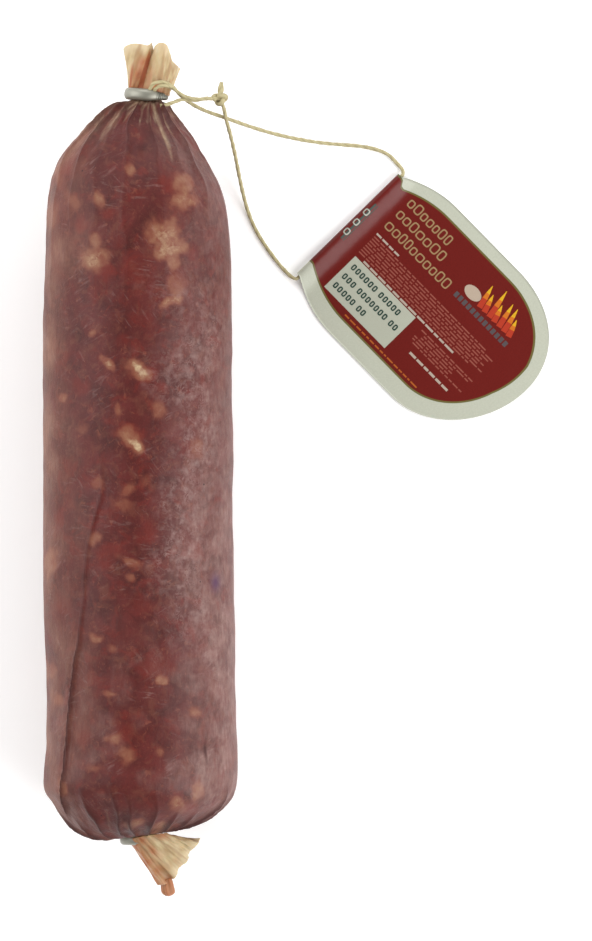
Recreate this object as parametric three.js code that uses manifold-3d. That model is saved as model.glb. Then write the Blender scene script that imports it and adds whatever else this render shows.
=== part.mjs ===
// A cured sausage in its casing, lying on its side. Each gathered end is closed by a wire clip
// and ends in a tail of loose casing. A loop of twine leaves the top clip, runs down to the
// surface, through the fold of a printed label, and back to its own knot beside the clip.
// Millimetres, +Z up. The sausage lies along Y with the twine at its +Y end, and the origin
// is under the middle of its length, on the surface that it rests on.
import * as THREE from "three";
import { mergeVertices } from "three/addons/utils/BufferGeometryUtils.js";
import Module from "manifold-3d";

const wasm = await Module();
wasm.setup();

// ---- driving dimensions ----
const bodyDiameter = 52; // filled casing below the shoulder
const heelDiameter = 53.4; // widest place, just above the lower end
const overallLength = 235.4; // from the end of one casing tail to the end of the other
const topTailLength = 15; // clip's middle to the cut end of the casing
const bottomTailLength = 16.1;
const shoulderLength = 44; // taper from the top clip to the full diameter
const heelLength = 20; // rounding from the bottom clip to the heel's diameter
const restWidth = 12; // flat strip that the weight presses underneath
const pleatCount = 12; // gathers in the casing at each end
const pleatDepth = 0.9; // height of those gathers where they are deepest
const tailPleatDepth = 0.9; // the same on the loose tails
const topNeckShift = 2.1; // sideways place of the top clip
const bottomNeckShift = 0.9; // sideways place of the bottom clip
const bottomTailLean = 7.2; // how far the bottom tail's end leans beyond its clip
const topTailRadius = 7.2; // flared cut end of the top tail
const bottomTailRadius = 9.4; // widest part of the bottom tail's fan
const tailFlatness = 0.74; // height of a tail as a share of its width

const clipWidth = 12.6; // closed ring, across the sausage
const clipHeight = 11; // closed ring, up and down
const clipWire = 3; // thickness of the wire along the sausage
const clipTongue = 0.62; // thinnest place of the wire, as a share of its thickness
const clipPress = 0.87; // height of the wire's section, as a share of its thickness
const clipTilt = -5.4; // degrees that the top clip is turned in plan
const partGap = 0.3; // between pieces that touch

const twineDiameter = 0.96;
const twineClearance = 0.4; // room round the twine inside the label's fold
const hitchInset = 0.2; // how much narrower than the clip the turns of twine round the neck are
const hitchDrop = 0.6; // and how much lower
const hitchTurns = 2; // turns of twine side by side
const knotWidth = 4.4; // overhand knot in both ends of the twine
const knotHeight = 3.5;
const knotTailLength = 5.2; // knot's middle to the ends of the twine
const knotTailWidth = 1.9;
const knotTurn = -16; // degrees that the knot's ends lean in plan

const labelWidth = 49.4;
const labelLength = 67.6; // fold to round end
const endSkew = 3; // how far the round end leans to the side that the twine enters from
const foldWidth = 39.4;
const shoulderRun = 17; // length over which the label widens from its fold
const leafThickness = 0.3; // one leaf of the folded sheet
const foldSlope = 5.4; // from the twine's channel to where the leaves lie together

// ---- sizes that follow ----
const bodyRadius = bodyDiameter / 2;
const heelRadius = heelDiameter / 2;
const axisHeight = Math.sqrt(bodyRadius ** 2 - (restWidth / 2) ** 2);
const topClipY = overallLength / 2 - topTailLength;
const bottomClipY = -overallLength / 2 + bottomTailLength;
const clipBar = clipWire * clipPress;
const neckRadius = clipWidth / 2 - clipBar / 2; // the neck fills the ring to the wire's middle
const twineRadius = twineDiameter / 2;
const channelRadius = twineRadius + twineClearance;
const foldRadius = channelRadius + leafThickness;
const labelThickness = 2 * leafThickness;
const hitchWidth = clipWidth - hitchInset;
const hitchHeight = clipHeight - hitchDrop;
const hitchBand = hitchTurns * twineDiameter;
const hitchY = topClipY + clipWire / 2 + hitchBand / 2 + 2 * partGap;

// ---- the twine's route, from the neck to the label and back, chosen by hand ----
const onSurface = twineRadius + 0.06; // the twine lies just clear of it
const inFold = foldRadius;
const foldTop = [71.6, 80.7]; // where the route meets the upper end of the label's fold
const foldBottom = [44.1, 53.8]; // and its lower end
const knotPoint = [21.8, 101.9, 24.2];
const twineRoute = [
  [8.95, 105.2, 25.2],
  [10.6, 103.4, 25.2],
  [12.8, 101.4, 24.7],
  [16.9, 99.1, 22.8],
  [23.8, 96.7, 18.6],
  [30.1, 94.6, 14.2],
  [36.4, 92.8, 10.2],
  [43.0, 91.4, 6.4],
  [49.6, 90.4, 3.4],
  [55.4, 89.9, 1.4],
  [60.6, 89.5, onSurface],
  [65.0, 88.6, onSurface],
  [68.4, 87.1, onSurface],
  [70.9, 84.6, onSurface],
  [72.3, 82.9, 0.8],
  [72.4, 81.7, inFold],
  [71.6, 80.8, inFold],
  [62.4, 71.7, inFold],
  [53.3, 62.8, inFold],
  [43.9, 53.6, inFold],
  [42.9, 52.8, inFold],
  [41.6, 53.3, 0.8],
  [39.4, 55.4, onSurface],
  [36.0, 59.6, onSurface],
  [31.8, 66.1, onSurface],
  [29.6, 71.2, 0.9],
  [28.1, 76.5, 3.4],
  [27.0, 81.6, 7.2],
  [25.9, 87.2, 11.8],
  [24.7, 92.3, 16.2],
  [23.5, 96.6, 20.4],
  [22.8, 99.8, 23.2],
  [21.7, 101.8, 24.3],
  [19.2, 102.0, 25.2],
  [15.4, 101.8, 26.5],
  [12.2, 102.5, 27.2],
  [10.2, 103.8, 27.5],
  [8.6, 105.1, 27.5],
];

// ---- helpers ----
function solidFrom(geometry) {
  const loose = geometry.getIndex() ? geometry.toNonIndexed() : geometry;
  const plain = new THREE.BufferGeometry();
  plain.setAttribute("position", loose.getAttribute("position"));
  const merged = mergeVertices(plain, 1e-4);
  const vertProperties = merged.getAttribute("position").array;
  const triVerts = new Uint32Array(merged.getIndex().array);
  return new wasm.Manifold(new wasm.Mesh({ numProp: 3, vertProperties, triVerts }));
}

function geometryFrom(solid) {
  const mesh = solid.getMesh();
  const geometry = new THREE.BufferGeometry();
  geometry.setAttribute("position", new THREE.BufferAttribute(mesh.vertProperties, 3));
  geometry.setIndex(new THREE.BufferAttribute(mesh.triVerts, 1));
  geometry.computeVertexNormals();
  return geometry;
}

function moveVertices(geometry, place) {
  const position = geometry.getAttribute("position");
  const point = new THREE.Vector3();
  for (let i = 0; i < position.count; i += 1) {
    point.fromBufferAttribute(position, i);
    place(point);
    position.setXYZ(i, point.x, point.y, point.z);
  }
  return geometry;
}

const { smoothstep, lerp } = THREE.MathUtils;

// ---- the sausage: filling, casing and both tails in one ----
// Radius against distance from the clip's middle, each as a share of its full value.
const shoulderShape = [
  [0.05, 0.27],
  [0.15, 0.44],
  [0.21, 0.54],
  [0.335, 0.708],
  [0.46, 0.833],
  [0.586, 0.91],
  [0.775, 0.965],
];
// The lower end bulges a little past its clip, so its first rows lie in a dimple.
const heelShape = [
  [0.11, 0.2],
  [0.03, 0.28],
  [-0.03, 0.37],
  [0.035, 0.56],
  [0.14, 0.71],
  [0.3, 0.805],
  [0.465, 0.9],
  [0.58, 0.96],
  [0.7, 0.985],
];
// Tails: radius as a share of the flared end's, and place from the cut end, at 0, to the clip, at 1.
const bottomTailShape = [
  [0.62, 0.36],
  [0.92, 0.58],
  [1, 0.74],
];
const topTailShape = [
  [0.8, 0.66],
  [0.84, 0.44],
  [0.93, 0.2],
];
// The drawn-out tip of the bottom tail: radius and distance from its end, in millimetres.
const tipShape = [
  [0, 0],
  [1.5, 0.3],
  [2.3, 1.6],
  [2.6, 3.2],
];
// The open end of the top tail: radius as a share of its full value, and distance from its end.
const mouthShape = [
  [1, 0.9],
  [0.86, 0],
  [0.45, 1.6],
  [0, 2.4],
];
const besideClip = clipWire * 0.62; // where the casing spreads again past a clip
const bottomSpread = 1; // how far it has spread there
const topSpread = 0.9;
const heelBlend = 0.45; // share of the body over which the heel's extra width dies out
const middleRings = 8;
const bodySides = 48;

function endRows(shape, clipY, inwards, length, radius) {
  return shape.map(([along, wide]) => [radius * wide, clipY + inwards * along * length]);
}

function sausageProfile() {
  const shoulder = endRows(shoulderShape, topClipY, -1, shoulderLength, bodyRadius);
  const heel = endRows(heelShape, bottomClipY, 1, heelLength, heelRadius);
  const heelY = bottomClipY + heelLength;
  const shoulderY = topClipY - shoulderLength;
  const end = overallLength / 2;
  const rows = tipShape.map(([radius, along]) => [radius, along - end]);
  for (const [wide, along] of bottomTailShape) {
    rows.push([bottomTailRadius * wide, lerp(-end, bottomClipY, along)]);
  }
  rows.push([neckRadius + bottomSpread, bottomClipY - besideClip]);
  rows.push([neckRadius, bottomClipY]);
  rows.push(...heel);
  for (let i = 0; i <= middleRings; i += 1) {
    const along = i / middleRings;
    const radius = lerp(heelRadius, bodyRadius, smoothstep(along, 0, heelBlend));
    rows.push([radius, lerp(heelY, shoulderY, along)]);
  }
  rows.push(...shoulder.reverse());
  rows.push([neckRadius, topClipY]);
  rows.push([neckRadius + topSpread, topClipY + besideClip]);
  for (const [wide, along] of topTailShape) {
    rows.push([topTailRadius * wide, lerp(end, topClipY, along)]);
  }
  rows.push(...mouthShape.map(([wide, along]) => [topTailRadius * wide, end - along]));
  return rows.map(([radius, y]) => new THREE.Vector2(radius, y));
}

// The end pleats are deepest a little way from each clip and die out along the body.
const pleatStart = 2; // distance from the clip, as the two below
const topPleatPeak = 9;
const bottomPleatPeak = 6;

function pleatShare(distance, peak, reach) {
  return smoothstep(distance, pleatStart, peak) * (1 - smoothstep(distance, peak, reach));
}

function pleatHeight(y) {
  const fromTop = topClipY - y;
  const fromBottom = y - bottomClipY;
  if (fromTop < 0 || fromBottom < 0) return tailPleatDepth;
  const top = pleatShare(fromTop, topPleatPeak, shoulderLength);
  const bottom = pleatShare(fromBottom, bottomPleatPeak, heelLength);
  return pleatDepth * Math.max(top, bottom);
}

// How far the middle of the section stands to the side.
const neckBend = shoulderLength * 0.7; // length over which the neck leaves the axis

function sideShift(y) {
  const top = topNeckShift * smoothstep(y, topClipY - neckBend, topClipY);
  const bottom = bottomNeckShift * (1 - smoothstep(y, bottomClipY, bottomClipY + heelLength));
  const lean = bottomTailLean * (1 - smoothstep(y, -overallLength / 2, bottomClipY));
  return top + bottom + lean;
}

const flatRun = 4; // length over which a tail goes from round to flat

function makeSausage() {
  const shape = new THREE.LatheGeometry(sausageProfile(), bodySides);
  moveVertices(shape, (point) => {
    const radius = Math.hypot(point.x, point.z);
    const angle = Math.atan2(point.z, point.x);
    const inTail = point.y > topClipY || point.y < bottomClipY;
    const roomy = Math.min(1, radius / neckRadius);
    const pleat = pleatHeight(point.y) * roomy * (0.5 * Math.cos(pleatCount * angle) - 0.5);
    const wide = radius > 0 ? (radius + pleat) / radius : 1;
    const past = Math.max(point.y - topClipY, bottomClipY - point.y) - clipWire;
    const flat = inTail ? lerp(1, tailFlatness, smoothstep(past, 0, flatRun)) : 1;
    point.x = point.x * wide + sideShift(point.y);
    point.z = Math.max(point.z * wide * flat + axisHeight, 0);
  });
  return solidFrom(shape);
}

// ---- wire clips: closed rings whose ends overlap in a thinner tongue at one side ----
const tongueStart = 0.1; // cosine of the angle round the ring where the wire begins to thin
const tongueFull = 0.95; // and where it is thinnest
const wireSides = 8;
const clipSteps = 36;

function clipSolid(gap) {
  const ringRadius = clipWidth / 2 - clipBar / 2;
  const squash = (clipHeight - clipBar) / (clipWidth - clipBar);
  const ring = new THREE.TorusGeometry(ringRadius, clipWire / 2, wireSides, clipSteps);
  moveVertices(ring, (point) => {
    const angle = Math.atan2(point.y, point.x);
    const middleX = ringRadius * Math.cos(angle);
    const middleY = ringRadius * Math.sin(angle);
    const tongue = smoothstep(Math.cos(angle), tongueStart, tongueFull);
    const thick = lerp(1, clipTongue, tongue);
    const grown = (clipWire * thick + 2 * gap) / clipWire;
    const pressed = (clipBar * thick + 2 * gap) / clipWire;
    point.x = middleX + (point.x - middleX) * pressed;
    point.y = (middleY + (point.y - middleY) * pressed) * squash;
    point.z *= grown;
  });
  return solidFrom(ring.rotateX(Math.PI / 2));
}

const clipPlaces = {
  top_clip: { x: topNeckShift, y: topClipY, turn: clipTilt },
  bottom_clip: { x: bottomNeckShift, y: bottomClipY, turn: 0 },
};

function placed(solid, { x, y, turn }) {
  return solid.rotate([0, 0, turn]).translate([x, y, axisHeight]);
}

// ---- turns of twine drawn tight round the neck above the top clip ----
const hitchSteps = 32;

function hitchSolid(gap) {
  const ringRadius = hitchWidth / 2 - twineRadius;
  const squash = (hitchHeight - twineDiameter) / (hitchWidth - twineDiameter);
  const ring = new THREE.TorusGeometry(ringRadius, twineRadius + gap, wireSides, hitchSteps);
  const grown = (hitchBand + 2 * gap) / (twineDiameter + 2 * gap);
  ring.scale(1, squash, grown);
  return solidFrom(ring.rotateX(Math.PI / 2));
}

const hitchPlace = { x: topNeckShift, y: hitchY, turn: clipTilt };

// ---- twine ----
const twineSteps = 80;
const halfTurnSides = 4; // the section is made of two half turns

function twineSolid(extra) {
  const route = new THREE.CatmullRomCurve3(twineRoute.map((p) => new THREE.Vector3(...p)));
  const section = new THREE.Shape();
  section.absarc(0, 0, twineRadius + extra, 0, 2 * Math.PI);
  const tube = new THREE.ExtrudeGeometry(section, {
    steps: twineSteps,
    curveSegments: halfTurnSides,
    extrudePath: route,
    bevelEnabled: false,
  });
  return solidFrom(tube);
}

// ---- knot: a round of twine with two short ends standing out of it, round the twine's bend ----
const knotSides = 16;
const knotRings = 12;
const tailRootShare = 0.77; // width of the ends where they leave the knot, as a share of their tips'

function knotSolid() {
  const ball = new THREE.SphereGeometry(knotWidth / 2, knotSides, knotRings);
  ball.scale(1, knotHeight / knotWidth, knotHeight / knotWidth);
  const tailRadius = knotTailWidth / 2;
  const rootRadius = tailRadius * tailRootShare;
  const tail = new THREE.CylinderGeometry(tailRadius, rootRadius, knotTailLength, knotRings);
  tail.translate(0, knotTailLength / 2, 0);
  const whole = solidFrom(ball).add(solidFrom(tail));
  const turned = whole.rotate([0, 0, knotTurn]).translate(knotPoint);
  return turned.subtract(twineSolid(partGap));
}

// ---- label: one sheet folded over the twine, with its two leaves stuck together ----
// Its own frame has X along the fold and Y away from it, from the middle of the twine's channel.
const leafInset = 0.4; // the leaves start this far outside the loop, inside its slope
const endSegments = 28; // of the round end
const shoulderSegments = 14; // of each curve that widens the label from its fold
const channelSegments = 10; // per half turn round the twine's channel

function labelSolid() {
  const farEnd = labelLength - foldRadius;
  const start = foldRadius + leafInset;
  const half = labelWidth / 2;
  const narrow = foldWidth / 2;
  const leaf = new THREE.Shape();
  leaf.moveTo(-narrow, start);
  leaf.lineTo(narrow, start);
  leaf.quadraticCurveTo(half, shoulderRun / 2, half, shoulderRun);
  leaf.lineTo(half, farEnd - half);
  for (let i = 1; i <= endSegments; i += 1) {
    const turn = (Math.PI * i) / endSegments;
    const lean = endSkew * Math.sin(turn) ** 2;
    leaf.lineTo(half * Math.cos(turn) - lean, farEnd - half + half * Math.sin(turn));
  }
  leaf.lineTo(-half, shoulderRun);
  leaf.quadraticCurveTo(-half, shoulderRun / 2, -narrow, start);
  const leaves = new THREE.ExtrudeGeometry(leaf, {
    depth: labelThickness,
    curveSegments: shoulderSegments,
    bevelEnabled: false,
  });

  // Section of the fold, in Y and Z: a loop round the channel that slopes down to the leaves.
  const slopeStart = Math.acos(foldRadius / Math.hypot(foldSlope, foldRadius - labelThickness));
  const section = new THREE.Shape();
  section.moveTo(foldSlope, 0);
  section.lineTo(foldSlope, labelThickness);
  section.absarc(0, foldRadius, foldRadius, slopeStart, 1.5 * Math.PI);
  const channel = new THREE.Path();
  channel.absarc(0, foldRadius, channelRadius, 0, 2 * Math.PI, true);
  section.holes.push(channel);
  const fold = new THREE.ExtrudeGeometry(section, {
    depth: foldWidth,
    curveSegments: channelSegments,
    bevelEnabled: false,
  });
  const turnUpright = new THREE.Matrix4().makeBasis(
    new THREE.Vector3(0, 1, 0),
    new THREE.Vector3(0, 0, 1),
    new THREE.Vector3(1, 0, 0),
  );
  fold.applyMatrix4(turnUpright).translate(-foldWidth / 2, 0, 0);
  return solidFrom(leaves).add(solidFrom(fold));
}

// ---- materials and assembly ----
const casing = new THREE.MeshStandardMaterial({ color: 0x6b3a34, roughness: 0.45 });
const clipMetal = new THREE.MeshStandardMaterial({
  color: 0xb4b6a8,
  roughness: 0.4,
  metalness: 0.6,
});
const fibre = new THREE.MeshStandardMaterial({ color: 0xc9b889, roughness: 0.85 });
const printedFilm = new THREE.MeshStandardMaterial({ color: 0x6d1c15, roughness: 0.3 });

const sausage = new THREE.Group();

function addPiece(name, solid, material) {
  const piece = new THREE.Mesh(geometryFrom(solid), material);
  piece.name = name;
  sausage.add(piece);
  return piece;
}

let filling = makeSausage();
for (const place of Object.values(clipPlaces)) {
  filling = filling.subtract(placed(clipSolid(partGap), place));
}
filling = filling.subtract(placed(hitchSolid(partGap), hitchPlace));
addPiece("sausage", filling, casing);
for (const [name, place] of Object.entries(clipPlaces)) {
  addPiece(name, placed(clipSolid(0), place), clipMetal);
}
addPiece("twine_hitch", placed(hitchSolid(0), hitchPlace), fibre);
addPiece("twine", twineSolid(0), fibre);
addPiece("twine_knot", knotSolid(), fibre);

const label = addPiece("label", labelSolid(), printedFilm);
label.position.x = (foldTop[0] + foldBottom[0]) / 2;
label.position.y = (foldTop[1] + foldBottom[1]) / 2;
label.rotation.z = Math.atan2(foldBottom[1] - foldTop[1], foldBottom[0] - foldTop[0]);

export default sausage;
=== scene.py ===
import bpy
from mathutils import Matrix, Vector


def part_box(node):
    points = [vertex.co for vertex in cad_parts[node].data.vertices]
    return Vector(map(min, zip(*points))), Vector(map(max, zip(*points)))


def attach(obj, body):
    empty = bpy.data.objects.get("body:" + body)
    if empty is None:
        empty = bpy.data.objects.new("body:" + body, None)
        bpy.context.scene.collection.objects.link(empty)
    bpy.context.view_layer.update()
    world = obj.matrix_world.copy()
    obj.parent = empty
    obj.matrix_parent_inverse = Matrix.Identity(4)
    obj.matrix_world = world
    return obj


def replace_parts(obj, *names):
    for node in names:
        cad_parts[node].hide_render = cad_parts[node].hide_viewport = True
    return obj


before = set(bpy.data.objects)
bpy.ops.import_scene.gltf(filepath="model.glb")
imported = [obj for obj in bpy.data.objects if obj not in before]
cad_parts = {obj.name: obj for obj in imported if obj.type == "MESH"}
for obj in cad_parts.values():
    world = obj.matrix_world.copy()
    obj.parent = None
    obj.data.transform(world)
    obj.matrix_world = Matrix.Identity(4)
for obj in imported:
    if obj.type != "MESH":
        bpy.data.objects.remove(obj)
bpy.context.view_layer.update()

import math
import random
import bpy
import numpy as np
from mathutils import Vector, noise

mm = 0.001


# small helpers, used by every piece

def hexToLinear(code):
    channels = [int(code[i:i + 2], 16) / 255 for i in (1, 3, 5)]
    linear = [c / 12.92 if c <= 0.04045 else ((c + 0.055) / 1.055) ** 2.4 for c in channels]
    return (*linear, 1.0)


def smoothStep(low, high, x):
    t = np.clip((np.asarray(x, float) - low) / (high - low), 0, 1)
    return t * t * (3 - 2 * t)


def addNode(tree, kind, settings=None, output=0):
    # a setting that is another node's output becomes a link, and a hex code becomes a colour
    node = tree.nodes.new("ShaderNode" + kind)
    for name, value in (settings or {}).items():
        if isinstance(name, str) and name not in node.inputs:
            setattr(node, name, value)
        elif isinstance(value, bpy.types.NodeSocket):
            tree.links.new(value, node.inputs[name])
        else:
            node.inputs[name].default_value = hexToLinear(value) if isinstance(value, str) else value
    return node.outputs[output]


def newMaterial(name, settings):
    material = bpy.data.materials.new(name)
    material.use_nodes = True
    tree = material.node_tree
    shader = tree.nodes["Principled BSDF"]
    for socket, value in settings.items():
        shader.inputs[socket].default_value = value
    return material, tree, shader


def overlap(tree, *masks):
    # where all the masks are high; one given as (mask, low, high) is first made to rise from low to high,
    # and one given as (mask, low, high, most) to rise no further than most
    share = None
    for mask in masks:
        if isinstance(mask, tuple):
            mask = addNode(tree, "MapRange", dict(zip(("Value", "From Min", "From Max", "To Max"), mask)))
        if share is None:
            share = mask
        else:
            share = addNode(tree, "Math", {"operation": "MULTIPLY", 0: share, 1: mask})
    return share


def layTone(tree, color, tone, *masks):
    # lays a tone over a colour where all the masks are high
    return addNode(tree, "Mix", {"data_type": "RGBA", 0: overlap(tree, *masks), 6: color, 7: tone}, 2)


def finishShader(tree, shader, color, height, strength, depth):
    # joins the colour and the relief, whose depth is in millimetres, to the shader
    relief = addNode(tree, "Bump", {"Strength": strength, "Distance": depth * mm, "Height": height})
    tree.links.new(color, shader.inputs["Base Color"])
    tree.links.new(relief, shader.inputs["Normal"])


def addMesh(name, points, faces, material, attributes=None, smooth=True):
    mesh = bpy.data.meshes.new(name)
    mesh.from_pydata([tuple(p) for p in np.asarray(points) * mm], [], faces)
    mesh.materials.append(material)
    for key, values in (attributes or {}).items():
        values = np.asarray(values, np.float32)
        kind = "FLOAT" if values.ndim == 1 else "FLOAT_VECTOR"
        field = "value" if values.ndim == 1 else "vector"
        mesh.attributes.new(key, kind, "POINT").data.foreach_set(field, values.ravel())
    mesh.polygons.foreach_set("use_smooth", [smooth] * len(mesh.polygons))
    piece = bpy.data.objects.new(name, mesh)
    bpy.context.scene.collection.objects.link(piece)
    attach(piece, "root")
    return piece


def gridFaces(rows, columns, closed=True, first=0):
    faces = []
    for i in range(rows - 1):
        for j in range(columns if closed else columns - 1):
            k = (j + 1) % columns
            a, b = first + i * columns, first + (i + 1) * columns
            faces.append((a + j, a + k, b + k, b + j))
    return faces


def sheetFaces(rows, columns):
    # both sides and the rim of a thin sheet: its upper points come first, then its lower ones
    layer, last = rows * columns, (rows - 1) * columns
    faces = [face[::-1] for face in gridFaces(rows, columns, closed=False)]
    faces += gridFaces(rows, columns, closed=False, first=layer)
    rim = [i * columns for i in range(rows)] + [last + j for j in range(1, columns)]
    rim += [i * columns + columns - 1 for i in range(rows - 2, -1, -1)] + list(range(columns - 2, 0, -1))
    return faces + [(a, b, b + layer, a + layer) for a, b in zip(rim, rim[1:] + rim[:1])]


def gridNormals(grid, closed=True):
    around = np.roll(grid, -1, axis=1) - np.roll(grid, 1, axis=1) if closed else np.gradient(grid, axis=1)
    normal = np.cross(around, np.gradient(grid, axis=0))
    return normal / np.maximum(np.linalg.norm(normal, axis=2), 1e-9)[:, :, None]


def splineThrough(points, perStep=24):
    # centripetal curve through every point, sampled finely
    p = np.asarray(points, float)
    ends = [2 * p[0] - p[1], *p, 2 * p[-1] - p[-2]]
    out = []
    for a, b, c, d in zip(ends, ends[1:], ends[2:], ends[3:]):
        ab, bc, cd = (max(np.linalg.norm(v), 1e-6) ** 0.5 for v in (b - a, c - b, d - c))
        m1 = ((b - a) / ab - (c - a) / (ab + bc) + (c - b) / bc) * bc
        m2 = ((c - b) / bc - (d - b) / (bc + cd) + (d - c) / cd) * bc
        t = np.linspace(0, 1, perStep, endpoint=False)[:, None]
        out.append((2 * t**3 - 3 * t**2 + 1) * b + (t**3 - 2 * t**2 + t) * m1
                   + (3 * t**2 - 2 * t**3) * c + (t**3 - t**2) * m2)
    return np.vstack([*out, p[-1:]])


def evenly(path, count, width=3):
    # the same curve at equal steps along its first "width" coordinates
    steps = np.linalg.norm(np.diff(path[:, :width], axis=0), axis=1)
    along = np.concatenate([[0], np.cumsum(steps)])
    wanted = np.linspace(0, along[-1], count)
    return np.stack([np.interp(wanted, along, column) for column in path.T], axis=1), along[-1]


def sweepTube(path, sides, radiusAt):
    # a tube round a curve; radiusAt takes the angle and the distance along, in millimetres
    tangent = np.gradient(path, axis=0)
    tangent /= np.linalg.norm(tangent, axis=1)[:, None]
    along = np.concatenate([[0], np.cumsum(np.linalg.norm(np.diff(path, axis=0), axis=1))])
    side = np.cross(tangent[0], [0.13, 0.21, 0.97])
    points, angles = [], np.linspace(0, 2 * math.pi, sides, endpoint=False)
    for centre, forward, distance in zip(path, tangent, along):
        side = side - forward * np.dot(side, forward)
        side /= np.linalg.norm(side)
        up = np.cross(forward, side)
        radius = radiusAt(angles, distance)[:, None]
        points.append(centre + radius * (np.cos(angles)[:, None] * side + np.sin(angles)[:, None] * up))
    faces = gridFaces(len(path), sides)
    faces.append(tuple(range(sides))[::-1])
    faces.append(tuple(range((len(path) - 1) * sides, len(path) * sides)))
    return np.vstack(points), faces, np.repeat(along, sides), np.tile(angles, len(path))


def joinParts(parts):
    points, faces, extras = [], [], []
    for part in parts:
        shift = sum(len(p) for p in points)
        points.append(part[0])
        faces += [tuple(i + shift for i in face) for face in part[1]]
        extras.append(part[2:])
    return np.vstack(points), faces, [np.concatenate(e) for e in zip(*extras)]


def boxOf(node):
    low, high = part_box(node)
    return np.array(low) / mm, np.array(high) / mm


# camera, straight above, with the hanging end of the sausage at the top

cameraSettings = {
    "frameHeight": 258.8,   # millimetres of the table that the picture's long side covers
    "lens": 480.0,          # long, so that the round body shows almost no perspective
    "sensor": 36.0,
    "centreX": 42.8,
    "centreY": -0.3,
    "focusHeight": 25.0,    # the height at which frameHeight is measured
}


def addCamera(s):
    data = bpy.data.cameras.new("tableCamera")
    data.lens = s["lens"]
    data.sensor_width = s["sensor"]
    distance = s["frameHeight"] / 2 / (s["sensor"] / 2 / s["lens"])
    camera = bpy.data.objects.new("tableCamera", data)
    camera.location = (s["centreX"] * mm, s["centreY"] * mm, (s["focusHeight"] + distance) * mm)
    data.clip_end = 20
    bpy.context.scene.collection.objects.link(camera)
    bpy.context.scene.camera = camera


addCamera(cameraSettings)
print("camera placed")


# twine: loose two-ply sisal, from the neck through the label's fold and back

twine = {
    "diameter": 0.96,
    "plyDepth": 0.09,       # how far the plies stand out from each other
    "pitch": 5.2,           # length of one full turn of the two plies
    "step": 0.3,
    "sides": 14,
    "fuzzCount": 150,       # stray fibres
    "fuzzLength": 1.5,
    "fuzzRadius": 0.028,
    "fuzzLow": 2.6,         # below this height the table presses most of them flat
    "fuzzPressed": 0.55,    # the share of those that is left out
    "fuzzRest": 0.06,       # height at which the others lie on the table
    "strandTones": ("#8f855c", "#c8be98"),
    "patchTones": ("#a1966b", "#c2b78f"),
    # painted shade for the grooves between the plies
    "plyGrooveShadeTone": "#71663f",
}
clearance = 0.4             # room round the twine inside the fold
leafThickness = 0.3
foldRadius = twine["diameter"] / 2 + clearance + leafThickness
onSurface = twine["diameter"] / 2 + 0.06
# from the turns at the neck out to the label, through its fold and back
twineRoute = [
    [8.95, 105.2, 25.2], [10.6, 103.4, 25.2], [12.8, 101.4, 24.7], [16.9, 99.1, 22.8],
    [23.8, 96.7, 18.6], [30.1, 94.6, 14.2], [36.4, 92.8, 10.2], [43.0, 91.4, 6.4],
    [49.6, 90.4, 3.4], [55.4, 89.9, 1.4], [60.6, 89.5, onSurface], [65.0, 88.6, onSurface],
    [68.4, 87.1, onSurface], [70.9, 84.6, onSurface], [72.3, 82.9, 0.8],
    [72.4, 81.7, foldRadius], [71.6, 80.8, foldRadius], [62.4, 71.7, foldRadius],
    [53.3, 62.8, foldRadius], [43.9, 53.6, foldRadius], [42.9, 52.8, foldRadius],
    [41.6, 53.3, 0.8], [39.4, 55.4, onSurface], [36.0, 59.6, onSurface],
    [31.8, 66.1, onSurface], [29.6, 71.2, 0.9], [28.1, 76.5, 3.4], [27.0, 81.6, 7.2],
    [25.9, 87.2, 11.8], [24.7, 92.3, 16.2], [23.5, 96.6, 20.4], [22.8, 99.8, 23.2],
    [21.7, 101.8, 24.3], [19.2, 102.0, 25.2], [15.4, 101.8, 26.5], [12.2, 102.5, 27.2],
    [10.2, 103.8, 27.5], [8.6, 105.1, 27.5],
]


def sisalTwine(s):
    # unbleached plant fibre: matt straw, with painted shade in the grooves between the plies
    material, tree, shader = newMaterial("unbleachedSisal", {"Roughness": 0.82, "IOR": 1.5})
    ply = addNode(tree, "Attribute", {"attribute_name": "ply"}, "Fac")
    along = addNode(tree, "Attribute", {"attribute_name": "fibre"}, "Vector")
    # fibres are about 0.1 mm across and run with the plies, under a fine mottle
    strands = addNode(tree, "TexNoise", {"Scale": 1.0, "Detail": 3.0, "Vector": along})
    patches = addNode(tree, "TexNoise", {"Scale": 220.0, "Detail": 2.0})
    straw = layTone(tree, *s["strandTones"], strands)
    warm = layTone(tree, *s["patchTones"], patches)
    color = layTone(tree, layTone(tree, straw, warm, 0.45), s["plyGrooveShadeTone"], (ply, 0.6, 0.0, 0.5))
    finishShader(tree, shader, color, strands, 0.5, 0.06)
    return material


twineMaterial = sisalTwine(twine)


def twineParts(path, s, radius=None, endTaper=0.0):
    # two plies twisted round each other, with slow changes of thickness
    radius = radius or s["diameter"] / 2
    rough = np.linalg.norm(np.diff(path, axis=0), axis=1).sum()
    even, length = evenly(path, max(4, int(rough / s["step"])))

    def radiusAt(angles, distance):
        turn = 2 * math.pi * distance / s["pitch"]
        lobes = np.abs(np.cos(angles - turn)) ** 0.8
        slow = 1 + 0.05 * math.sin(distance * 0.9) + 0.04 * math.sin(distance * 2.3 + 1)
        taper = 1.0 if not endTaper else min(1.0, 0.35 + (length - distance) / endTaper)
        return (radius * slow - s["plyDepth"] / 2 + s["plyDepth"] * lobes) * taper

    points, faces, along, angles = sweepTube(even, s["sides"], radiusAt)
    turn = 2 * math.pi * along / s["pitch"]
    ply = np.abs(np.cos(angles - turn))
    # a fibre keeps its angle within its ply, so the pattern turns with the plies
    fibre = np.stack([np.cos(angles - turn) * 5, np.sin(angles - turn) * 5, along * 0.35], axis=1)
    return points, faces, ply, fibre


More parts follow.
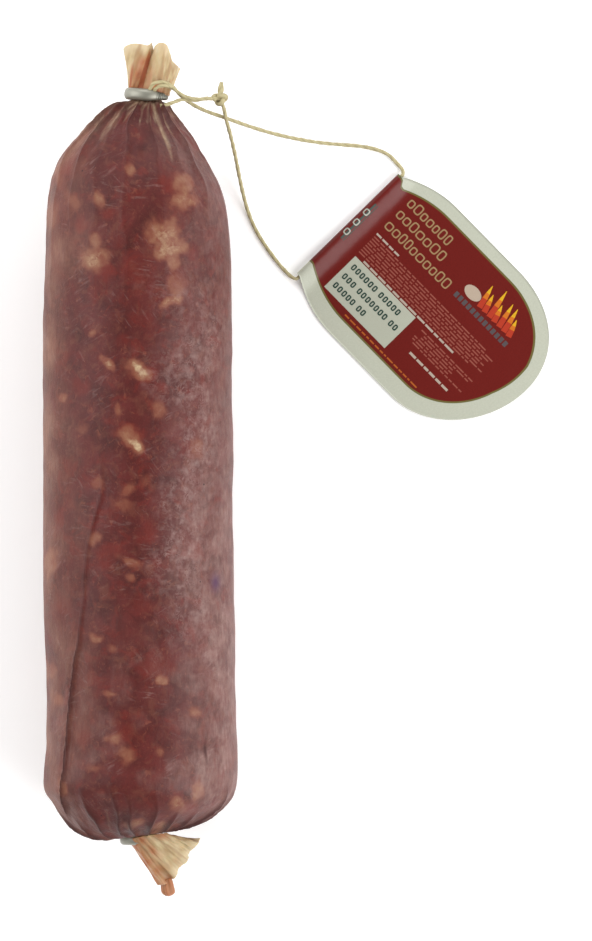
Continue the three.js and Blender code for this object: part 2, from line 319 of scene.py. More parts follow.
def addTwinePiece(name, parts):
    points, faces, (ply, fibre) = joinParts(parts)
    return addMesh(name, points, faces, twineMaterial, {"ply": ply, "fibre": fibre})


loopPath = splineThrough(twineRoute)
twineLoop = addTwinePiece("twineLoop", [twineParts(loopPath, twine)])
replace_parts(twineLoop, "twine")


# the sausage: coarse meat and fat in a clinging casing

topClipLow, topClipHigh = boxOf("top_clip")
bottomClipLow, bottomClipHigh = boxOf("bottom_clip")
axisHeight = (topClipLow[2] + topClipHigh[2]) / 2
topClipY = (topClipLow[1] + topClipHigh[1]) / 2
bottomClipY = (bottomClipLow[1] + bottomClipHigh[1]) / 2

sausage = {
    "rows": 312,
    "columns": 316,
    "topPleatDepth": 2.1,
    "bottomPleatDepth": 1.5,
    "topPleatReach": 42.0,
    "bottomPleatReach": 26.0,
    "softFoldDepth": 0.55,  # long shallow folds that run on from the gathers
    "lumpHeight": 0.42,     # slow unevenness of the hand-filled casing
    "lumpSize": 17.0,
    "dimpleHeight": 0.16,   # meat grain pressing through
    "dimpleSize": 5.5,
    "gatherWander": 5.0,    # degrees that a gather strays to either side
    "meanCrest": 0.78,      # so that the gathers neither add to the girth nor take from it
    "topWrinkleHeight": 0.34,
    "bottomWrinkleHeight": 0.26,
    "ridgeHeight": 0.35,    # of the pale folds at the neck
    "grooveDepth": 1.0,     # of the long fold on the upper left, and its width
    "grooveWidth": 0.5,
    "puckerHeight": 0.1,    # of the small puckers beside it
    "splitDepth": 0.25,
    "softZone": 0.6,        # height up to which the underside settles on the table
    "lowest": 0.03,
    "hiddenFat": 150,       # pieces on the side that faces the table
    "hiddenEmber": 110,
    "seed": 11,
}

# left edge x, left edge y, right edge x, right edge y, height as a share of width
bodyStations = [
    (-2.4, bottomClipY - 0.3, 4.2, bottomClipY - 0.3, 0.70),
    (-2.6, bottomClipY + 1.5, 4.6, bottomClipY + 1.6, 0.72),
    (-4.6, -99.4, 6.2, -99.2, 0.95),
    (-7.9, -101.5, 8.4, -99.4, 1.00),
    (-12.5, -101.3, 12.2, -98.3, 1.00),
    (-18.0, -99.0, 17.4, -96.3, 1.00),
    (-21.4, -95.3, 21.9, -93.4, 1.00),
    (-24.4, -91.3, 25.2, -90.0, 0.99),
    (-26.3, -88.3, 26.4, -86.6, 0.985),
    (-26.6, -83.6, 26.8, -82.2, 0.98),
    (-26.0, -75.0, 26.6, -74.0, 0.98),
    (-25.7, -62.5, 26.3, -62.5, 0.99),
    (-26.4, -47.0, 26.0, -46.0, 0.985),
    (-26.8, -26.0, 25.7, -26.0, 0.985),
    (-26.8, 18.0, 25.2, 18.0, 0.985),
    (-26.3, 50.0, 25.1, 50.0, 0.985),
    (-25.8, 67.0, 24.4, 67.0, 0.985),
    (-24.9, 76.9, 22.4, 76.9, 0.985),
    (-23.4, 82.6, 19.9, 82.4, 0.99),
    (-20.2, 87.9, 16.6, 87.9, 0.99),
    (-15.6, 93.2, 12.6, 93.2, 0.99),
    (-12.3, 96.4, 10.4, 96.0, 0.98),
    (-9.4, 98.9, 8.6, 98.3, 0.97),
    (-6.0, 100.5, 7.2, 100.1, 0.93),
    (-3.0, 101.3, 5.9, 101.2, 0.82),
    (-1.3, topClipY, 5.4, topClipY, 0.72),
]
# where the casing dips between its gathers, in degrees round from the label's side
topValleys = [12, 36, 52, 72, 97, 117, 138, 157, 178, 200, 221, 243, 268, 293, 318, 341]
bottomValleys = [5, 25, 42, 61, 79, 96, 109, 126, 147, 166, 186, 210, 236, 262, 288, 315, 338]
# folds of bare casing at the neck, pale as bare film and partly as a painted highlight on their crests:
# degrees round, reach, width in degrees, how pale
paleRidges = [
    (58, 32, 2.4, 1.2), (45, 23, 2.0, 0.8), (27, 27, 2.4, 1.0), (11, 24, 2.8, 0.8), (75, 14, 3.0, 0.8),
    (88, 10, 4.0, 0.6), (104, 14, 6.0, 0.8), (122, 24, 8.0, 0.85), (141, 26, 6.0, 0.8), (158, 22, 4.0, 0.7),
    (176, 24, 4.0, 0.8), (205, 22, 4.0, 0.8), (232, 20, 5.0, 0.7), (256, 28, 3.0, 1.0), (281, 20, 5.0, 0.7),
    (306, 28, 3.0, 0.9), (332, 20, 4.0, 0.7),
]
# the long fold in the casing, from its faint upper end to the bottom corner
foldLine = [(-10.9, 7.0), (-10.5, -7.3), (-12.5, -14.4), (-14.0, -22.0), (-15.2, -32.0), (-15.9, -43.6),
            (-17.6, -55.0), (-18.7, -66.0), (-20.0, -78.0), (-21.0, -88.0), (-19.6, -95.5)]
# a short split in the film near the heel, and a violet bruise: x, y, half width, half length
filmSplit = (18.1, -76.8, 0.42, 3.2)
violetBruise = (21.0, -31.0, 1.2, 2.3)
# pieces of fat that show: x, y, width, length, turn in degrees, how pale
fatPieces = [
    (-2.9, 81.8, 2.8, 3.2, -30, 0.75), (-11.1, 73.8, 2.8, 3.2, 0, 0.75), (12.4, 78.2, 5.6, 4.6, 0, 0.8),
    (11.4, 73.7, 7.6, 4.4, 0, 0.9), (6.5, 63.9, 7.2, 8.0, 10, 1.0), (-12.0, 62.6, 3.2, 3.4, 0, 0.7),
    (-22.6, 82.0, 3.2, 8.0, 10, 0.6), (-24.2, 70.0, 3.6, 7.0, 0, 0.5), (-18.4, 73.3, 3.4, 5.0, 0, 0.5),
    (-12.5, 57.9, 6.6, 6.4, 0, 1.0), (8.2, 60.2, 8.6, 7.0, -20, 1.0), (9.8, 56.0, 4.4, 3.2, 20, 0.8),
    (10.3, 50.2, 5.4, 5.6, 0, 0.55), (9.4, 46.0, 7.4, 2.2, 22, 1.0), (-13.1, 37.5, 2.0, 2.0, 0, 0.8),
    (-8.7, 28.7, 5.2, 2.2, -48, 1.0), (-0.2, 26.9, 6.2, 3.8, -40, 1.25), (-21.3, 19.4, 2.6, 2.6, 0, 0.8),
    (5.1, 16.1, 3.4, 4.6, 20, 0.55), (-5.8, 16.5, 1.8, 3.8, 10, 0.65), (-3.0, 9.2, 6.0, 4.0, -30, 0.8),
    (-1.0, 6.6, 4.2, 3.0, -25, 1.28), (-11.2, -3.6, 3.6, 3.0, 0, 0.6), (-3.2, -5.9, 2.6, 4.4, -40, 0.6),
    (-5.4, -9.5, 5.0, 4.0, 20, 0.4), (-12.1, -19.0, 3.6, 3.0, 0, 0.65), (-2.6, -25.2, 6.4, 2.4, -18, 0.55),
    (-2.1, -29.8, 2.2, 2.2, 0, 0.6), (-24.8, -25.6, 4.0, 8.0, -15, 0.75), (16.0, 5.6, 4.4, 6.0, 0, 0.45),
    (-11.8, -46.0, 3.4, 2.8, 0, 0.85), (-7.0, -48.8, 2.4, 1.8, 0, 0.5), (5.9, -57.6, 3.6, 2.4, 0, 0.85),
    (-8.1, -61.2, 3.8, 1.5, 0, 0.75), (14.7, -66.7, 3.6, 3.0, 0, 0.65), (-7.0, -73.4, 4.4, 3.0, 30, 0.8),
    (-4.1, -77.8, 5.8, 3.8, -20, 0.6), (-11.8, -81.5, 3.8, 1.6, 0, 0.55), (5.5, -77.1, 2.2, 2.2, 0, 0.5),
    (16.2, -87.6, 3.2, 6.4, -8, 0.8), (10.3, -91.7, 4.0, 3.6, 0, 0.9), (-1.2, -96.9, 4.6, 2.6, 0, 0.9),
    (5.8, -98.2, 4.6, 3.0, 0, 0.8), (-21.2, -87.0, 2.0, 5.0, 0, 0.8), (-22.1, -63.4, 3.4, 3.4, 0, 0.55),
    (-24.6, -55.4, 4.0, 6.0, 0, 0.55), (2.0, -3.0, 4.0, 3.0, 30, 0.35), (-15.5, 11.0, 3.0, 2.4, 0, 0.4),
]
# orange-red lean and stained fat under the casing, listed in the same way
emberPieces = [
    (-19.6, 83.0, 3.0, 6.0, -10, 1.0), (8.4, 78.6, 5.4, 4.4, 0, 0.9), (-8.4, 69.9, 5.0, 4.0, 20, 0.9),
    (-16.1, 66.7, 4.4, 4.0, 0, 0.95), (-0.3, 53.8, 8.0, 8.6, 0, 0.6), (-8.8, 54.0, 5.0, 4.6, 0, 1.0),
    (10.6, 51.6, 6.6, 6.0, 0, 0.8), (1.0, 40.6, 6.4, 5.0, 0, 0.55), (-4.8, 35.3, 3.6, 3.0, 0, 0.6),
    (2.4, 26.0, 4.4, 3.6, 0, 0.95), (-16.4, 22.7, 5.0, 4.4, 0, 0.8), (5.8, 22.7, 4.6, 4.2, 0, 0.9),
    (-3.4, 9.8, 6.4, 4.4, -25, 1.0), (-20.0, 1.5, 4.6, 4.4, 0, 0.6), (-12.6, -2.9, 5.0, 4.0, 0, 0.75),
    (-21.6, -12.6, 3.4, 4.4, 0, 0.8), (2.9, -16.9, 5.2, 4.8, 0, 0.8), (-8.4, -22.4, 8.0, 3.6, 0, 0.85),
    (-9.3, -25.8, 5.0, 3.4, 10, 0.85), (4.8, -53.5, 8.6, 7.0, 0, 0.7), (-15.5, -72.7, 4.6, 5.0, 0, 0.7),
    (-4.1, -71.6, 5.6, 6.4, 0, 0.6), (13.6, -92.9, 4.0, 3.6, 0, 0.9), (2.6, -92.3, 6.0, 5.0, 0, 0.5),
    (-5.5, 62.0, 5.0, 5.0, 0, 0.5), (-21.0, -38.0, 4.0, 6.0, 0, 0.4), (1.5, -37.0, 7.0, 5.0, 0, 0.5),
]


def bodyGrid(s):
    stations = splineThrough(bodyStations)
    middle = (stations[:, 0:2] + stations[:, 2:4]) / 2
    half = np.hypot(stations[:, 2] - stations[:, 0], stations[:, 3] - stations[:, 1]) / 2
    # rows at equal steps along the outline
    rows, _ = evenly(np.column_stack([middle[:, 1], half, stations]), s["rows"], 2)
    half, left, right, tall = rows[:, 1], rows[:, 2:4], rows[:, 4:6], rows[:, 6]
    angle = np.linspace(0, 2 * math.pi, s["columns"], endpoint=False)
    centre = np.column_stack([(left + right) / 2, np.full(len(rows), axisHeight)])
    across = np.column_stack([(right - left) / 2, np.zeros(len(rows))])
    up = np.column_stack([np.zeros((len(rows), 2)), half * tall])
    grid = (centre[:, None] + np.cos(angle)[None, :, None] * across[:, None]
            + np.sin(angle)[None, :, None] * up[:, None])
    return grid, angle, half, centre


def softNoise(points, size, seed):
    offset = Vector((seed * 7.3, seed * 3.1, seed * 5.7))
    flat = points.reshape(-1, 3) / size
    values = [noise.noise(Vector(p) + offset) for p in flat]
    return np.array(values).reshape(points.shape[:-1])


def gathers(angle, reach, valleys, seed):
    # 0 in each dip and 1 on the crest between dips, how far each gather runs, and its own weight
    rng = random.Random(seed)
    degrees = np.degrees(angle)
    stops = sorted(valleys)
    crest, ridge = np.zeros_like(degrees), np.zeros_like(degrees)
    for low, high in zip(stops, [*stops[1:], stops[0] + 360]):
        share = ((degrees - low) % 360) / (high - low)
        weight = rng.uniform(0.35, 1.0)
        crest = np.where(share < 1, (4 * share * (1 - share)) ** 0.5, crest)
        ridge = np.where(share < 1, weight * np.exp(-((share - 0.5) / 0.1) ** 2), ridge)
    reachOf = np.array([reach * rng.uniform(0.4, 1.15) for _ in stops])
    gap = np.abs((degrees[:, None] - np.array(stops)[None, :] + 180) % 360 - 180)
    weight = np.exp(-(gap / 8) ** 2) + 1e-6
    return crest, ridge, (weight * reachOf).sum(axis=1) / weight.sum(axis=1)


def blobs(pieces, x, y, wobble):
    # the strongest of many soft-edged patches, each a turned oval with an uneven rim
    amount = np.zeros_like(x)
    for px, py, width, length, turn, strength in pieces:
        c, s = math.cos(math.radians(turn)), math.sin(math.radians(turn))
        dx, dy = x - px, y - py
        u = (dx * c + dy * s) / (width / 2)
        v = (dy * c - dx * s) / (length / 2)
        distance = np.sqrt(u * u + v * v) + wobble
        amount = np.maximum(amount, strength * smoothStep(1.7, 0.3, distance))
    return amount


def spot(dx, dy, halfWidth, halfLength):
    return np.exp(-((dx / halfWidth) ** 2 + (dy / halfLength) ** 2))


def randomPieces(count, seed, paleLow, paleHigh):
    # the hidden side has the same mix of sizes as the side on show, listed in the same way
    rng = random.Random(seed)
    ranges = ((-82, 82), (-98, 94), (1.8, 6.5), (1.8, 6.5), (-60, 60), (paleLow, paleHigh))
    return [tuple(rng.uniform(low, high) for low, high in ranges) for _ in range(count)]


def makeBody(s):
    grid, angle, half, centre = bodyGrid(s)
    normal = gridNormals(grid)
    outline = np.column_stack([centre[:, 1], half])
    along = np.concatenate([[0], np.cumsum(np.linalg.norm(np.diff(outline, axis=0), axis=1))])
    fromBottom, fromTop = along[:, None], (along[-1] - along)[:, None]
    lumps = softNoise(grid, s["lumpSize"], s["seed"])
    grain = softNoise(grid, s["dimpleSize"], s["seed"] + 1)
    middle = smoothStep(6, 30, fromBottom) * smoothStep(6, 34, fromTop)
    height = s["lumpHeight"] * lumps * middle + s["dimpleHeight"] * grain * (0.3 + 0.7 * middle)

    # gathers at both ends, with thin wrinkles between them that run the same way
    spoke = np.stack(np.broadcast_arrays(np.cos(angle) * 9, np.sin(angle) * 9, fromTop * 0.22), axis=2)
    wrinkles = softNoise(spoke, 1.0, 21) + 0.5 * softNoise(spoke, 0.45, 22)
    bend = np.radians(s["gatherWander"]) * softNoise(spoke * 0.5, 1.0, 23)
    columns = np.arange(s["columns"])
    step = 2 * math.pi / s["columns"]

    def bentGathers(reach, valleys, seed):
        return [np.stack([np.interp(columns + b / step, columns, row, period=s["columns"]) for b in bend])
                for row in gathers(angle, reach, valleys, seed)]

    topCrest, topRidge, topReach = bentGathers(s["topPleatReach"], topValleys, 3)
    bottomCrest, bottomRidge, bottomReach = bentGathers(s["bottomPleatReach"], bottomValleys, 4)
    topFade = smoothStep(1.0, 6.0, fromTop) * (1 - smoothStep(0.1, 1.0, fromTop / topReach)) ** 1.3
    bottomFade = smoothStep(6, 13, fromBottom) * (1 - smoothStep(0.3, 1.0, (fromBottom - 10) / bottomReach))
    longFade = smoothStep(10, 26, fromTop) * smoothStep(78, 34, fromTop)
    height += s["topPleatDepth"] * topFade * (topCrest - s["meanCrest"])
    height += s["softFoldDepth"] * longFade * (topCrest - s["meanCrest"]) * topRidge.max() * 0.8
    height += s["bottomPleatDepth"] * bottomFade * (bottomCrest - s["meanCrest"])
    height += s["topWrinkleHeight"] * wrinkles * smoothStep(2, 7, fromTop) * smoothStep(40, 8, fromTop)
    lowWrinkles = smoothStep(7, 12, fromBottom) * smoothStep(30, 14, fromBottom)
    height += s["bottomWrinkleHeight"] * wrinkles * lowWrinkles

    # pale at the top neck: bare gathered film, and a painted highlight on the crests of the gathers and
    # wrinkles
    near = smoothStep(26, 5, fromTop)
    pale = 0.5 * topFade * topRidge * near + 0.45 * smoothStep(7, 3, fromTop)
    pale += 0.45 * smoothStep(0.15, 0.5, wrinkles) * smoothStep(24, 6, fromTop)
    degrees = np.degrees(angle)[None, :] + np.degrees(bend)
    for around, reach, width, strength in paleRidges:
        apart = np.abs((degrees - around + 180) % 360 - 180) / width
        line = strength * np.exp(-apart ** 2) * smoothStep(reach, reach * 0.4, fromTop)
        line = line * (0.75 + 0.5 * wrinkles)
        pale = np.maximum(pale, line)
        height += s["ridgeHeight"] * line * smoothStep(1.5, 5, fromTop)

    # the long fold on the upper left, faint at first
    x, y, z = grid[:, :, 0], grid[:, :, 1], grid[:, :, 2]
    upper = smoothStep(axisHeight - 2, axisHeight + 4, z)
    line = splineThrough(foldLine)
    order = np.argsort(line[:, 1])
    foldX = np.interp(y, line[order, 1], line[order, 0]) + 0.35 * softNoise(grid, 6.0, 31)
    steep = np.sqrt(np.clip(1 - ((x - centre[:, :1]) / np.maximum(half[:, None], 1)) ** 2, 0.12, 1))
    off = (x - foldX) / steep                  # distance from the fold over the surface
    inFold = upper * (0.3 * smoothStep(9, -14, y) + 0.7 * smoothStep(-30, -62, y)) * smoothStep(-98, -91, y)
    fold = inFold * np.exp(-(off / s["grooveWidth"]) ** 2)
    height -= s["grooveDepth"] * fold
    height -= 0.22 * inFold * np.exp(-((off + 2.0) / 2.2) ** 2)
    height += 0.2 * inFold * np.exp(-((off - 1.4) / 1.0) ** 2)
    pucker = inFold * smoothStep(0.2, -0.8, off) * smoothStep(-5.5, -1.5, off)
    height += s["puckerHeight"] * pucker * np.sin(y * 3.1 + x * 1.3 + 2 * lumps)

    splitX, splitY, splitWidth, splitLength = filmSplit
    split = upper * spot(x - splitX - 0.4 * np.sin(y * 0.6), y - splitY, splitWidth, splitLength)
    height -= s["splitDepth"] * split

    # the underside settles on the table: what would lie lower than the soft zone is eased to just above it
    place = grid + normal * height[:, :, None]
    low, softZone = place[:, :, 2], s["softZone"]
    eased = softZone * np.exp((low - softZone) / (2 * softZone))
    place[:, :, 2] = np.maximum(np.where(low < softZone, eased, low), s["lowest"])

    # colour masks, carried as attributes
    wobble = 0.5 * softNoise(grid, 3.0, 41) + 0.28 * softNoise(grid, 1.4, 42)
    wobble = wobble + 0.12 * softNoise(grid, 0.8, 43)
    shiftX, shiftY = 1.6 * softNoise(grid, 4.0, 44), 1.6 * softNoise(grid, 4.0, 45)
    fat = blobs(fatPieces, x + shiftX * 0.5, y + shiftY * 0.5, wobble) * upper
    ember = blobs(emberPieces, x + shiftX, y + shiftY, wobble) * upper
    arc = (angle[None, :] - math.pi / 2) * half[:, None]   # distance round from the top
    arc = np.where(arc > math.pi * half[:, None], arc - 2 * math.pi * half[:, None], arc)
    hidden = 1 - smoothStep(axisHeight - 6, axisHeight + 5, z)
    moreFat, moreEmber = (blobs(pieces, arc + shiftX, y + shiftY, wobble)
                          for pieces in (randomPieces(s["hiddenFat"], 5, 0.5, 1.05),
                                         randomPieces(s["hiddenEmber"], 6, 0.5, 1.0)))
    fat, ember = np.maximum(fat, hidden * moreFat), np.maximum(ember, hidden * moreEmber)
    # pale at the bottom neck: bare film near the clip, and a painted highlight on the crests of the gathers
    pale += (0.35 * bottomRidge * bottomFade + 0.3 * smoothStep(10, 6, fromBottom)) * 0.8
    # painted shade: darker in the dips between the gathers, along the long fold and the film split, and at
    # the heel
    creaseShade = topFade * (1 - topCrest) ** 1.6 * 1.3 + 1.4 * bottomFade * (1 - bottomCrest) ** 1.2
    heel = smoothStep(30, 12, fromBottom)
    creaseShade = creaseShade + 0.3 * heel * smoothStep(-0.35, 0.3, softNoise(grid, 6.0, 47))
    creaseShade = np.clip(creaseShade + 0.95 * fold + split, 0, 1)
    side = np.cos(angle)[None, :] + 0.2 * lumps
    # painted sheen: the right flank lighter, where a soft lamp on the right would reflect; grey patches of
    # bloom towards the lower end
    paintedRightSheen = smoothStep(0.18, 0.95, side) * (0.55 + 0.45 * smoothStep(30, -40, y))
    lowPatches = smoothStep(0.0, 0.4, softNoise(grid, 7.0, 49) + 0.25 * np.abs(side))
    lowHaze = smoothStep(-30, -70, y) * 0.32 * lowPatches
    bloomAndSheen = np.clip(paintedRightSheen + lowHaze, 0, 1) * (1 - 0.75 * heel)
    patches = np.clip(0.8 + 1.1 * softNoise(grid, 9.0, 48), 0.2, 1.2)
    # painted reflection: a lighter strip along the left edge, where the casing turns away and would mirror
    # the bright surroundings
    rim = 0.28 * smoothStep(0.45, 0.85, -side) + 0.45 * smoothStep(0.8, 0.98, -side)
    rim = patches * rim * (1 - 0.6 * heel)
    craze = smoothStep(0.0, 0.65, side + 0.6 * softNoise(grid, 13.0, 46)) * smoothStep(0.98, 0.7, side)
    craze = craze * smoothStep(62, 30, y) * smoothStep(-75, -30, y)
    bruiseX, bruiseY, bruiseWidth, bruiseLength = violetBruise
    bruise = upper * spot(x - bruiseX, y - bruiseY, bruiseWidth, bruiseLength)
    attributes = {
        "fat": fat, "ember": ember, "creaseShade": creaseShade, "pale": np.clip(pale, 0, 1),
        "bloomAndSheen": bloomAndSheen, "rim": rim, "craze": craze + 0.35 * hidden, "bruise": bruise,
    }
    attributes = {key: v.ravel() for key, v in attributes.items()}
    attributes["film"] = np.stack([arc, y, 0 * y], axis=2).reshape(-1, 3)
    # the two ends are closed inside the clips
    last = (s["rows"] - 1) * s["columns"]
    ends = [tuple(range(s["columns"]))[::-1], tuple(range(last, last + s["columns"]))]
    return place.reshape(-1, 3), gridFaces(s["rows"], s["columns"]) + ends, attributes


# tones seen through the casing
meatTones = {
    "leanDark": "#431917",
    "leanLight": "#5b2320",
    "redLean": "#66211a",
    "fattyMince": "#683a2d",
    "deepShade": "#2e0f0d",
    "stainedFat": "#753e2f",
    "tanFat": "#8a6149",
    "creamFat": "#b8a17f",
    "bloomAndSheenTone": "#91736c",
    "leftEdgeReflection": "#87604f",
    "wisp": "#a18680",
    "neckFilm": "#b7a287",
    "neckShade": "#876650",
    # painted shade for the dips between the gathers, the long fold, the split and the heel
    "creaseShadeRed": "#38100d",
    "bruise": "#4b2a45",
    "pepper": "#1d0d0e",
}


def collagenOverMeat(tones):
    # minced meat seen through a thin collagen casing: satin, dark red with tan fat and a grey bloom, with
    # painted sheen and reflection on its flanks, painted highlights on its gathers and painted shade in its
    # creases
    material, tree, shader = newMaterial("collagenOverMeat", {"IOR": 1.45, "Specular IOR Level": 0.27})
    names = ("fat", "ember", "creaseShade", "pale", "bloomAndSheen", "rim", "craze", "bruise")
    read = {name: addNode(tree, "Attribute", {"attribute_name": name}, "Fac") for name in names}
    film = addNode(tree, "Attribute", {"attribute_name": "film"}, "Vector")
    place = addNode(tree, "TexCoord", output="Object")

    def cloudy(size, detail=3.0, offset=0.0, vector=place, roughness=0.55, distortion=0.0):
        # patches of a size in millimetres; place is in metres, and film in millimetres
        moved = addNode(tree, "Mapping", {"Vector": vector, "Location": (offset, offset * 0.7, -offset)})
        scale = 1 / (size * mm) if vector is place else 1 / size
        return addNode(tree, "TexNoise", {"Vector": moved, "Scale": scale, "Detail": detail,
                                          "Roughness": roughness, "Distortion": distortion})

    # lean and mince: patch size, offset in the pattern, where it starts, where it is full, how much, tone
    lean = cloudy(7.0, 5.0, distortion=0.4)
    color = layTone(tree, tones["leanDark"], tones["leanLight"], (lean, 0.3, 0.7))
    for size, offset, low, high, most, tone in (
        (3.6, 3.1, 0.52, 0.68, 0.45, "fattyMince"),
        (4.6, 5.7, 0.54, 0.68, 0.6, "redLean"),
        (3.0, 8.3, 0.56, 0.72, 0.32, "deepShade"),
        (1.3, 1.9, 0.56, 0.72, 0.35, "fattyMince"),
        (1.8, 21.0, 0.61, 0.7, 0.5, "stainedFat"),
    ):
        mince = cloudy(size, 4.0, offset, distortion=0.8)
        color = layTone(tree, color, tones[tone], (mince, low, high, most))
    # pieces of stained lean and of fat, broken up by fibres of about 1 mm
    fibres = cloudy(1.1, 4.0, 4.4, roughness=0.65, distortion=0.5)
    broken = addNode(tree, "Math", {"operation": "MULTIPLY_ADD", 0: fibres, 1: 0.7, 2: 0.65})
    ember, fat = (overlap(tree, read[name], broken) for name in ("ember", "fat"))
    fatTone = layTone(tree, tones["stainedFat"], tones["tanFat"], (cloudy(2.6, 4.0, 16.7), 0.35, 0.65))
    for mask, low, high, most, tone in (
        (ember, 0.05, 1.0, 0.85, tones["redLean"]),
        (fat, 0.05, 0.55, 0.8, tones["stainedFat"]),
        (fat, 0.3, 0.85, 0.9, fatTone),
        (fat, 0.9, 1.35, 0.9, tones["creamFat"]),
    ):
        color = layTone(tree, color, tone, (mask, low, high, most))
    # grey haze on the casing, in fine grain drawn out along the sausage: a painted sheen on the right
    # flank, and the casing's own grey bloom in patches towards the lower end
    drawn = addNode(tree, "Mapping", {"Vector": place, "Scale": (1.0, 0.3, 1.0)})
    grain = addNode(tree, "TexNoise", {"Vector": drawn, "Scale": 900.0, "Detail": 5.0, "Roughness": 0.7})
    drift = cloudy(11.0, 3.0, 2.2)
    clouds = cloudy(4.5, 4.0, 14.1, distortion=0.6)
    uneven = addNode(tree, "Mix", {"data_type": "FLOAT", 0: 0.5, 2: overlap(tree, (drift, 0.25, 0.62)),
                                   3: overlap(tree, (clouds, 0.36, 0.62))})
    patchy = overlap(tree, (grain, 0.1, 0.75), uneven)
    color = layTone(tree, color, tones["bloomAndSheenTone"], read["bloomAndSheen"], patchy)
    # painted reflection along the left edge
    color = layTone(tree, color, tones["leftEdgeReflection"], read["rim"], (grain, 0.1, 0.6))
    # short whitish wisps where the casing is wrinkled, 0.3 mm wide, each family lying its own way
    wisps = 0.0
    for turn, size, offset, low in ((0.15, 1.0, 1.0, 0.55), (-0.5, 1.1, 6.0, 0.55), (0.9, 1.0, 11.0, 0.57)):
        lain = addNode(tree, "Mapping", {"vector_type": "TEXTURE", "Vector": film,
                                         "Rotation": (0, 0, turn), "Scale": (4.6, 1.0, 1.0)})
        streak = cloudy(size, 3.0, offset, lain, distortion=0.6)
        cluster = cloudy(11.0, 2.0, offset + 3.3)
        family = overlap(tree, (streak, low, low + 0.2), (cluster, 0.54, 0.68))
        wisps = addNode(tree, "Math", {"operation": "MAXIMUM", 0: wisps, 1: family})
    color = layTone(tree, color, tones["wisp"], wisps, (grain, 0.2, 0.75, 0.42))
    # fine crazing of the bloom: level lines of a noise of about 1.5 mm, broken into short lengths
    level = cloudy(1.7, 2.0, 9.1, distortion=1.2)
    level = addNode(tree, "Math", {"operation": "SUBTRACT", 0: level, 1: 0.5})
    level = addNode(tree, "Math", {"operation": "ABSOLUTE", 0: level})
    lines = overlap(tree, (level, 0.09, 0.0), read["craze"], (cloudy(3.4, 3.0, 7.7), 0.44, 0.68, 0.42))
    specks = overlap(tree, (cloudy(2.4, 4.0, 12.3), 0.48, 0.72, 0.4), read["craze"])
    crazing = addNode(tree, "Math", {"operation": "MAXIMUM", 0: lines, 1: specks})
    color = layTone(tree, color, tones["wisp"], crazing)
    # thick gathered casing at the neck, pale as bare film and as a painted highlight on the crests of its
    # gathers
    neck = layTone(tree, tones["neckShade"], tones["neckFilm"], (grain, 0.3, 0.7))
    color = layTone(tree, color, neck, (read["pale"], 0.15, 0.9, 0.9))
    # painted shade in the dips between the gathers, in the long fold and split, and at the heel
    color = layTone(tree, color, tones["creaseShadeRed"], read["creaseShade"])
    color = layTone(tree, color, tones["bruise"], read["bruise"])
    # specks of pepper, 0.5 mm
    pepper = addNode(tree, "TexVoronoi", {"Vector": place, "Scale": 120.0, "Randomness": 1.0})
    color = layTone(tree, color, tones["pepper"], (pepper, 0.04, 0.022, 0.85))
    # relief: drawn-out grain, fine pores, the ridges of wisps and crazing, and the fibres under the film
    pores = cloudy(0.6, 4.0, roughness=0.6)
    relief = grain
    for ridges, share in ((pores, 0.5), (wisps, 0.5), (crazing, 0.4), (fibres, 0.5)):
        relief = addNode(tree, "Math", {"operation": "MULTIPLY_ADD", 0: ridges, 1: share, 2: relief})
    finishShader(tree, shader, color, relief, 0.7, 0.16)
    gloss = addNode(tree, "MapRange", {"Value": drift, "To Min": 0.36, "To Max": 0.6})
    tree.links.new(gloss, shader.inputs["Roughness"])
    return material


bodyPoints, bodyFaces, bodyMasks = makeBody(sausage)
casingBody = addMesh("casingBody", bodyPoints, bodyFaces, collagenOverMeat(meatTones), bodyMasks)
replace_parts(casingBody, "sausage")
print("sausage filled:", len(bodyFaces), "faces")


# the loose, gathered casing past each clip

tails = {
    "columns": 168,
    "rows": 40,
    "filmThickness": 0.2,
    "ribHeight": 0.16,
    "creaseHeight": 0.26,
    "ribCount": 9,
    "filmTones": ("#a58a61", "#cbba93"),
    "cutTone": "#d8cdad",   # paler at the cut edge
    "stainTone": "#a35a2f",
    "deepStainTone": "#8c3a16",
    "valleyShadeTone": "#8a5c34",
}
# round the cut edge: x, y and z from the axis
topTailEdge = [
    (11.0, 110.2, -0.6), (10.2, 110.9, 0.9), (8.6, 112.6, 1.4), (7.9, 115.4, 2.0), (7.0, 116.9, 2.5),
    (5.4, 117.3, 2.6), (4.3, 116.6, 1.9), (3.6, 115.4, 0.2), (3.1, 117.3, 1.3), (2.1, 116.6, 2.4),
    (0.3, 116.9, 3.0), (-2.2, 117.0, 2.7), (-4.2, 116.1, 1.2), (-3.9, 114.8, -0.7), (-1.2, 115.4, -2.3),
    (1.4, 114.4, -1.4), (3.6, 115.6, -2.6), (6.2, 115.0, -2.2), (8.6, 112.0, -1.5),
]
# where the film leaves the neck: middle x, half width, then y and z at the front, the back and both sides
topTailRoot = {"x": 2.3, "half": 5.4, "front": (103.2, 2.6), "back": (103.2, -2.6), "tilt": -0.5}
bottomTailEdge = [
    (16.5, -101.4, 0.9), (15.6, -103.2, 2.6), (13.2, -105.3, 1.3), (13.1, -107.5, 2.6), (10.8, -109.4, 1.2),
    (9.6, -112.2, 2.4), (8.2, -113.2, 1.0), (6.6, -114.1, 2.2), (5.2, -114.3, 1.4), (4.3, -114.0, 0.2),
    (5.2, -112.6, -1.4), (7.6, -111.0, -2.0), (9.6, -108.2, -1.5), (12.0, -105.4, -2.0),
    (14.6, -102.6, -1.0),
]
# this one lies back over its clip, so its front starts above and inside it
bottomTailRoot = {"x": 2.7, "half": 5.3, "front": (-100.3, 6.9), "back": (-102.6, -3.0), "tilt": 0.8}
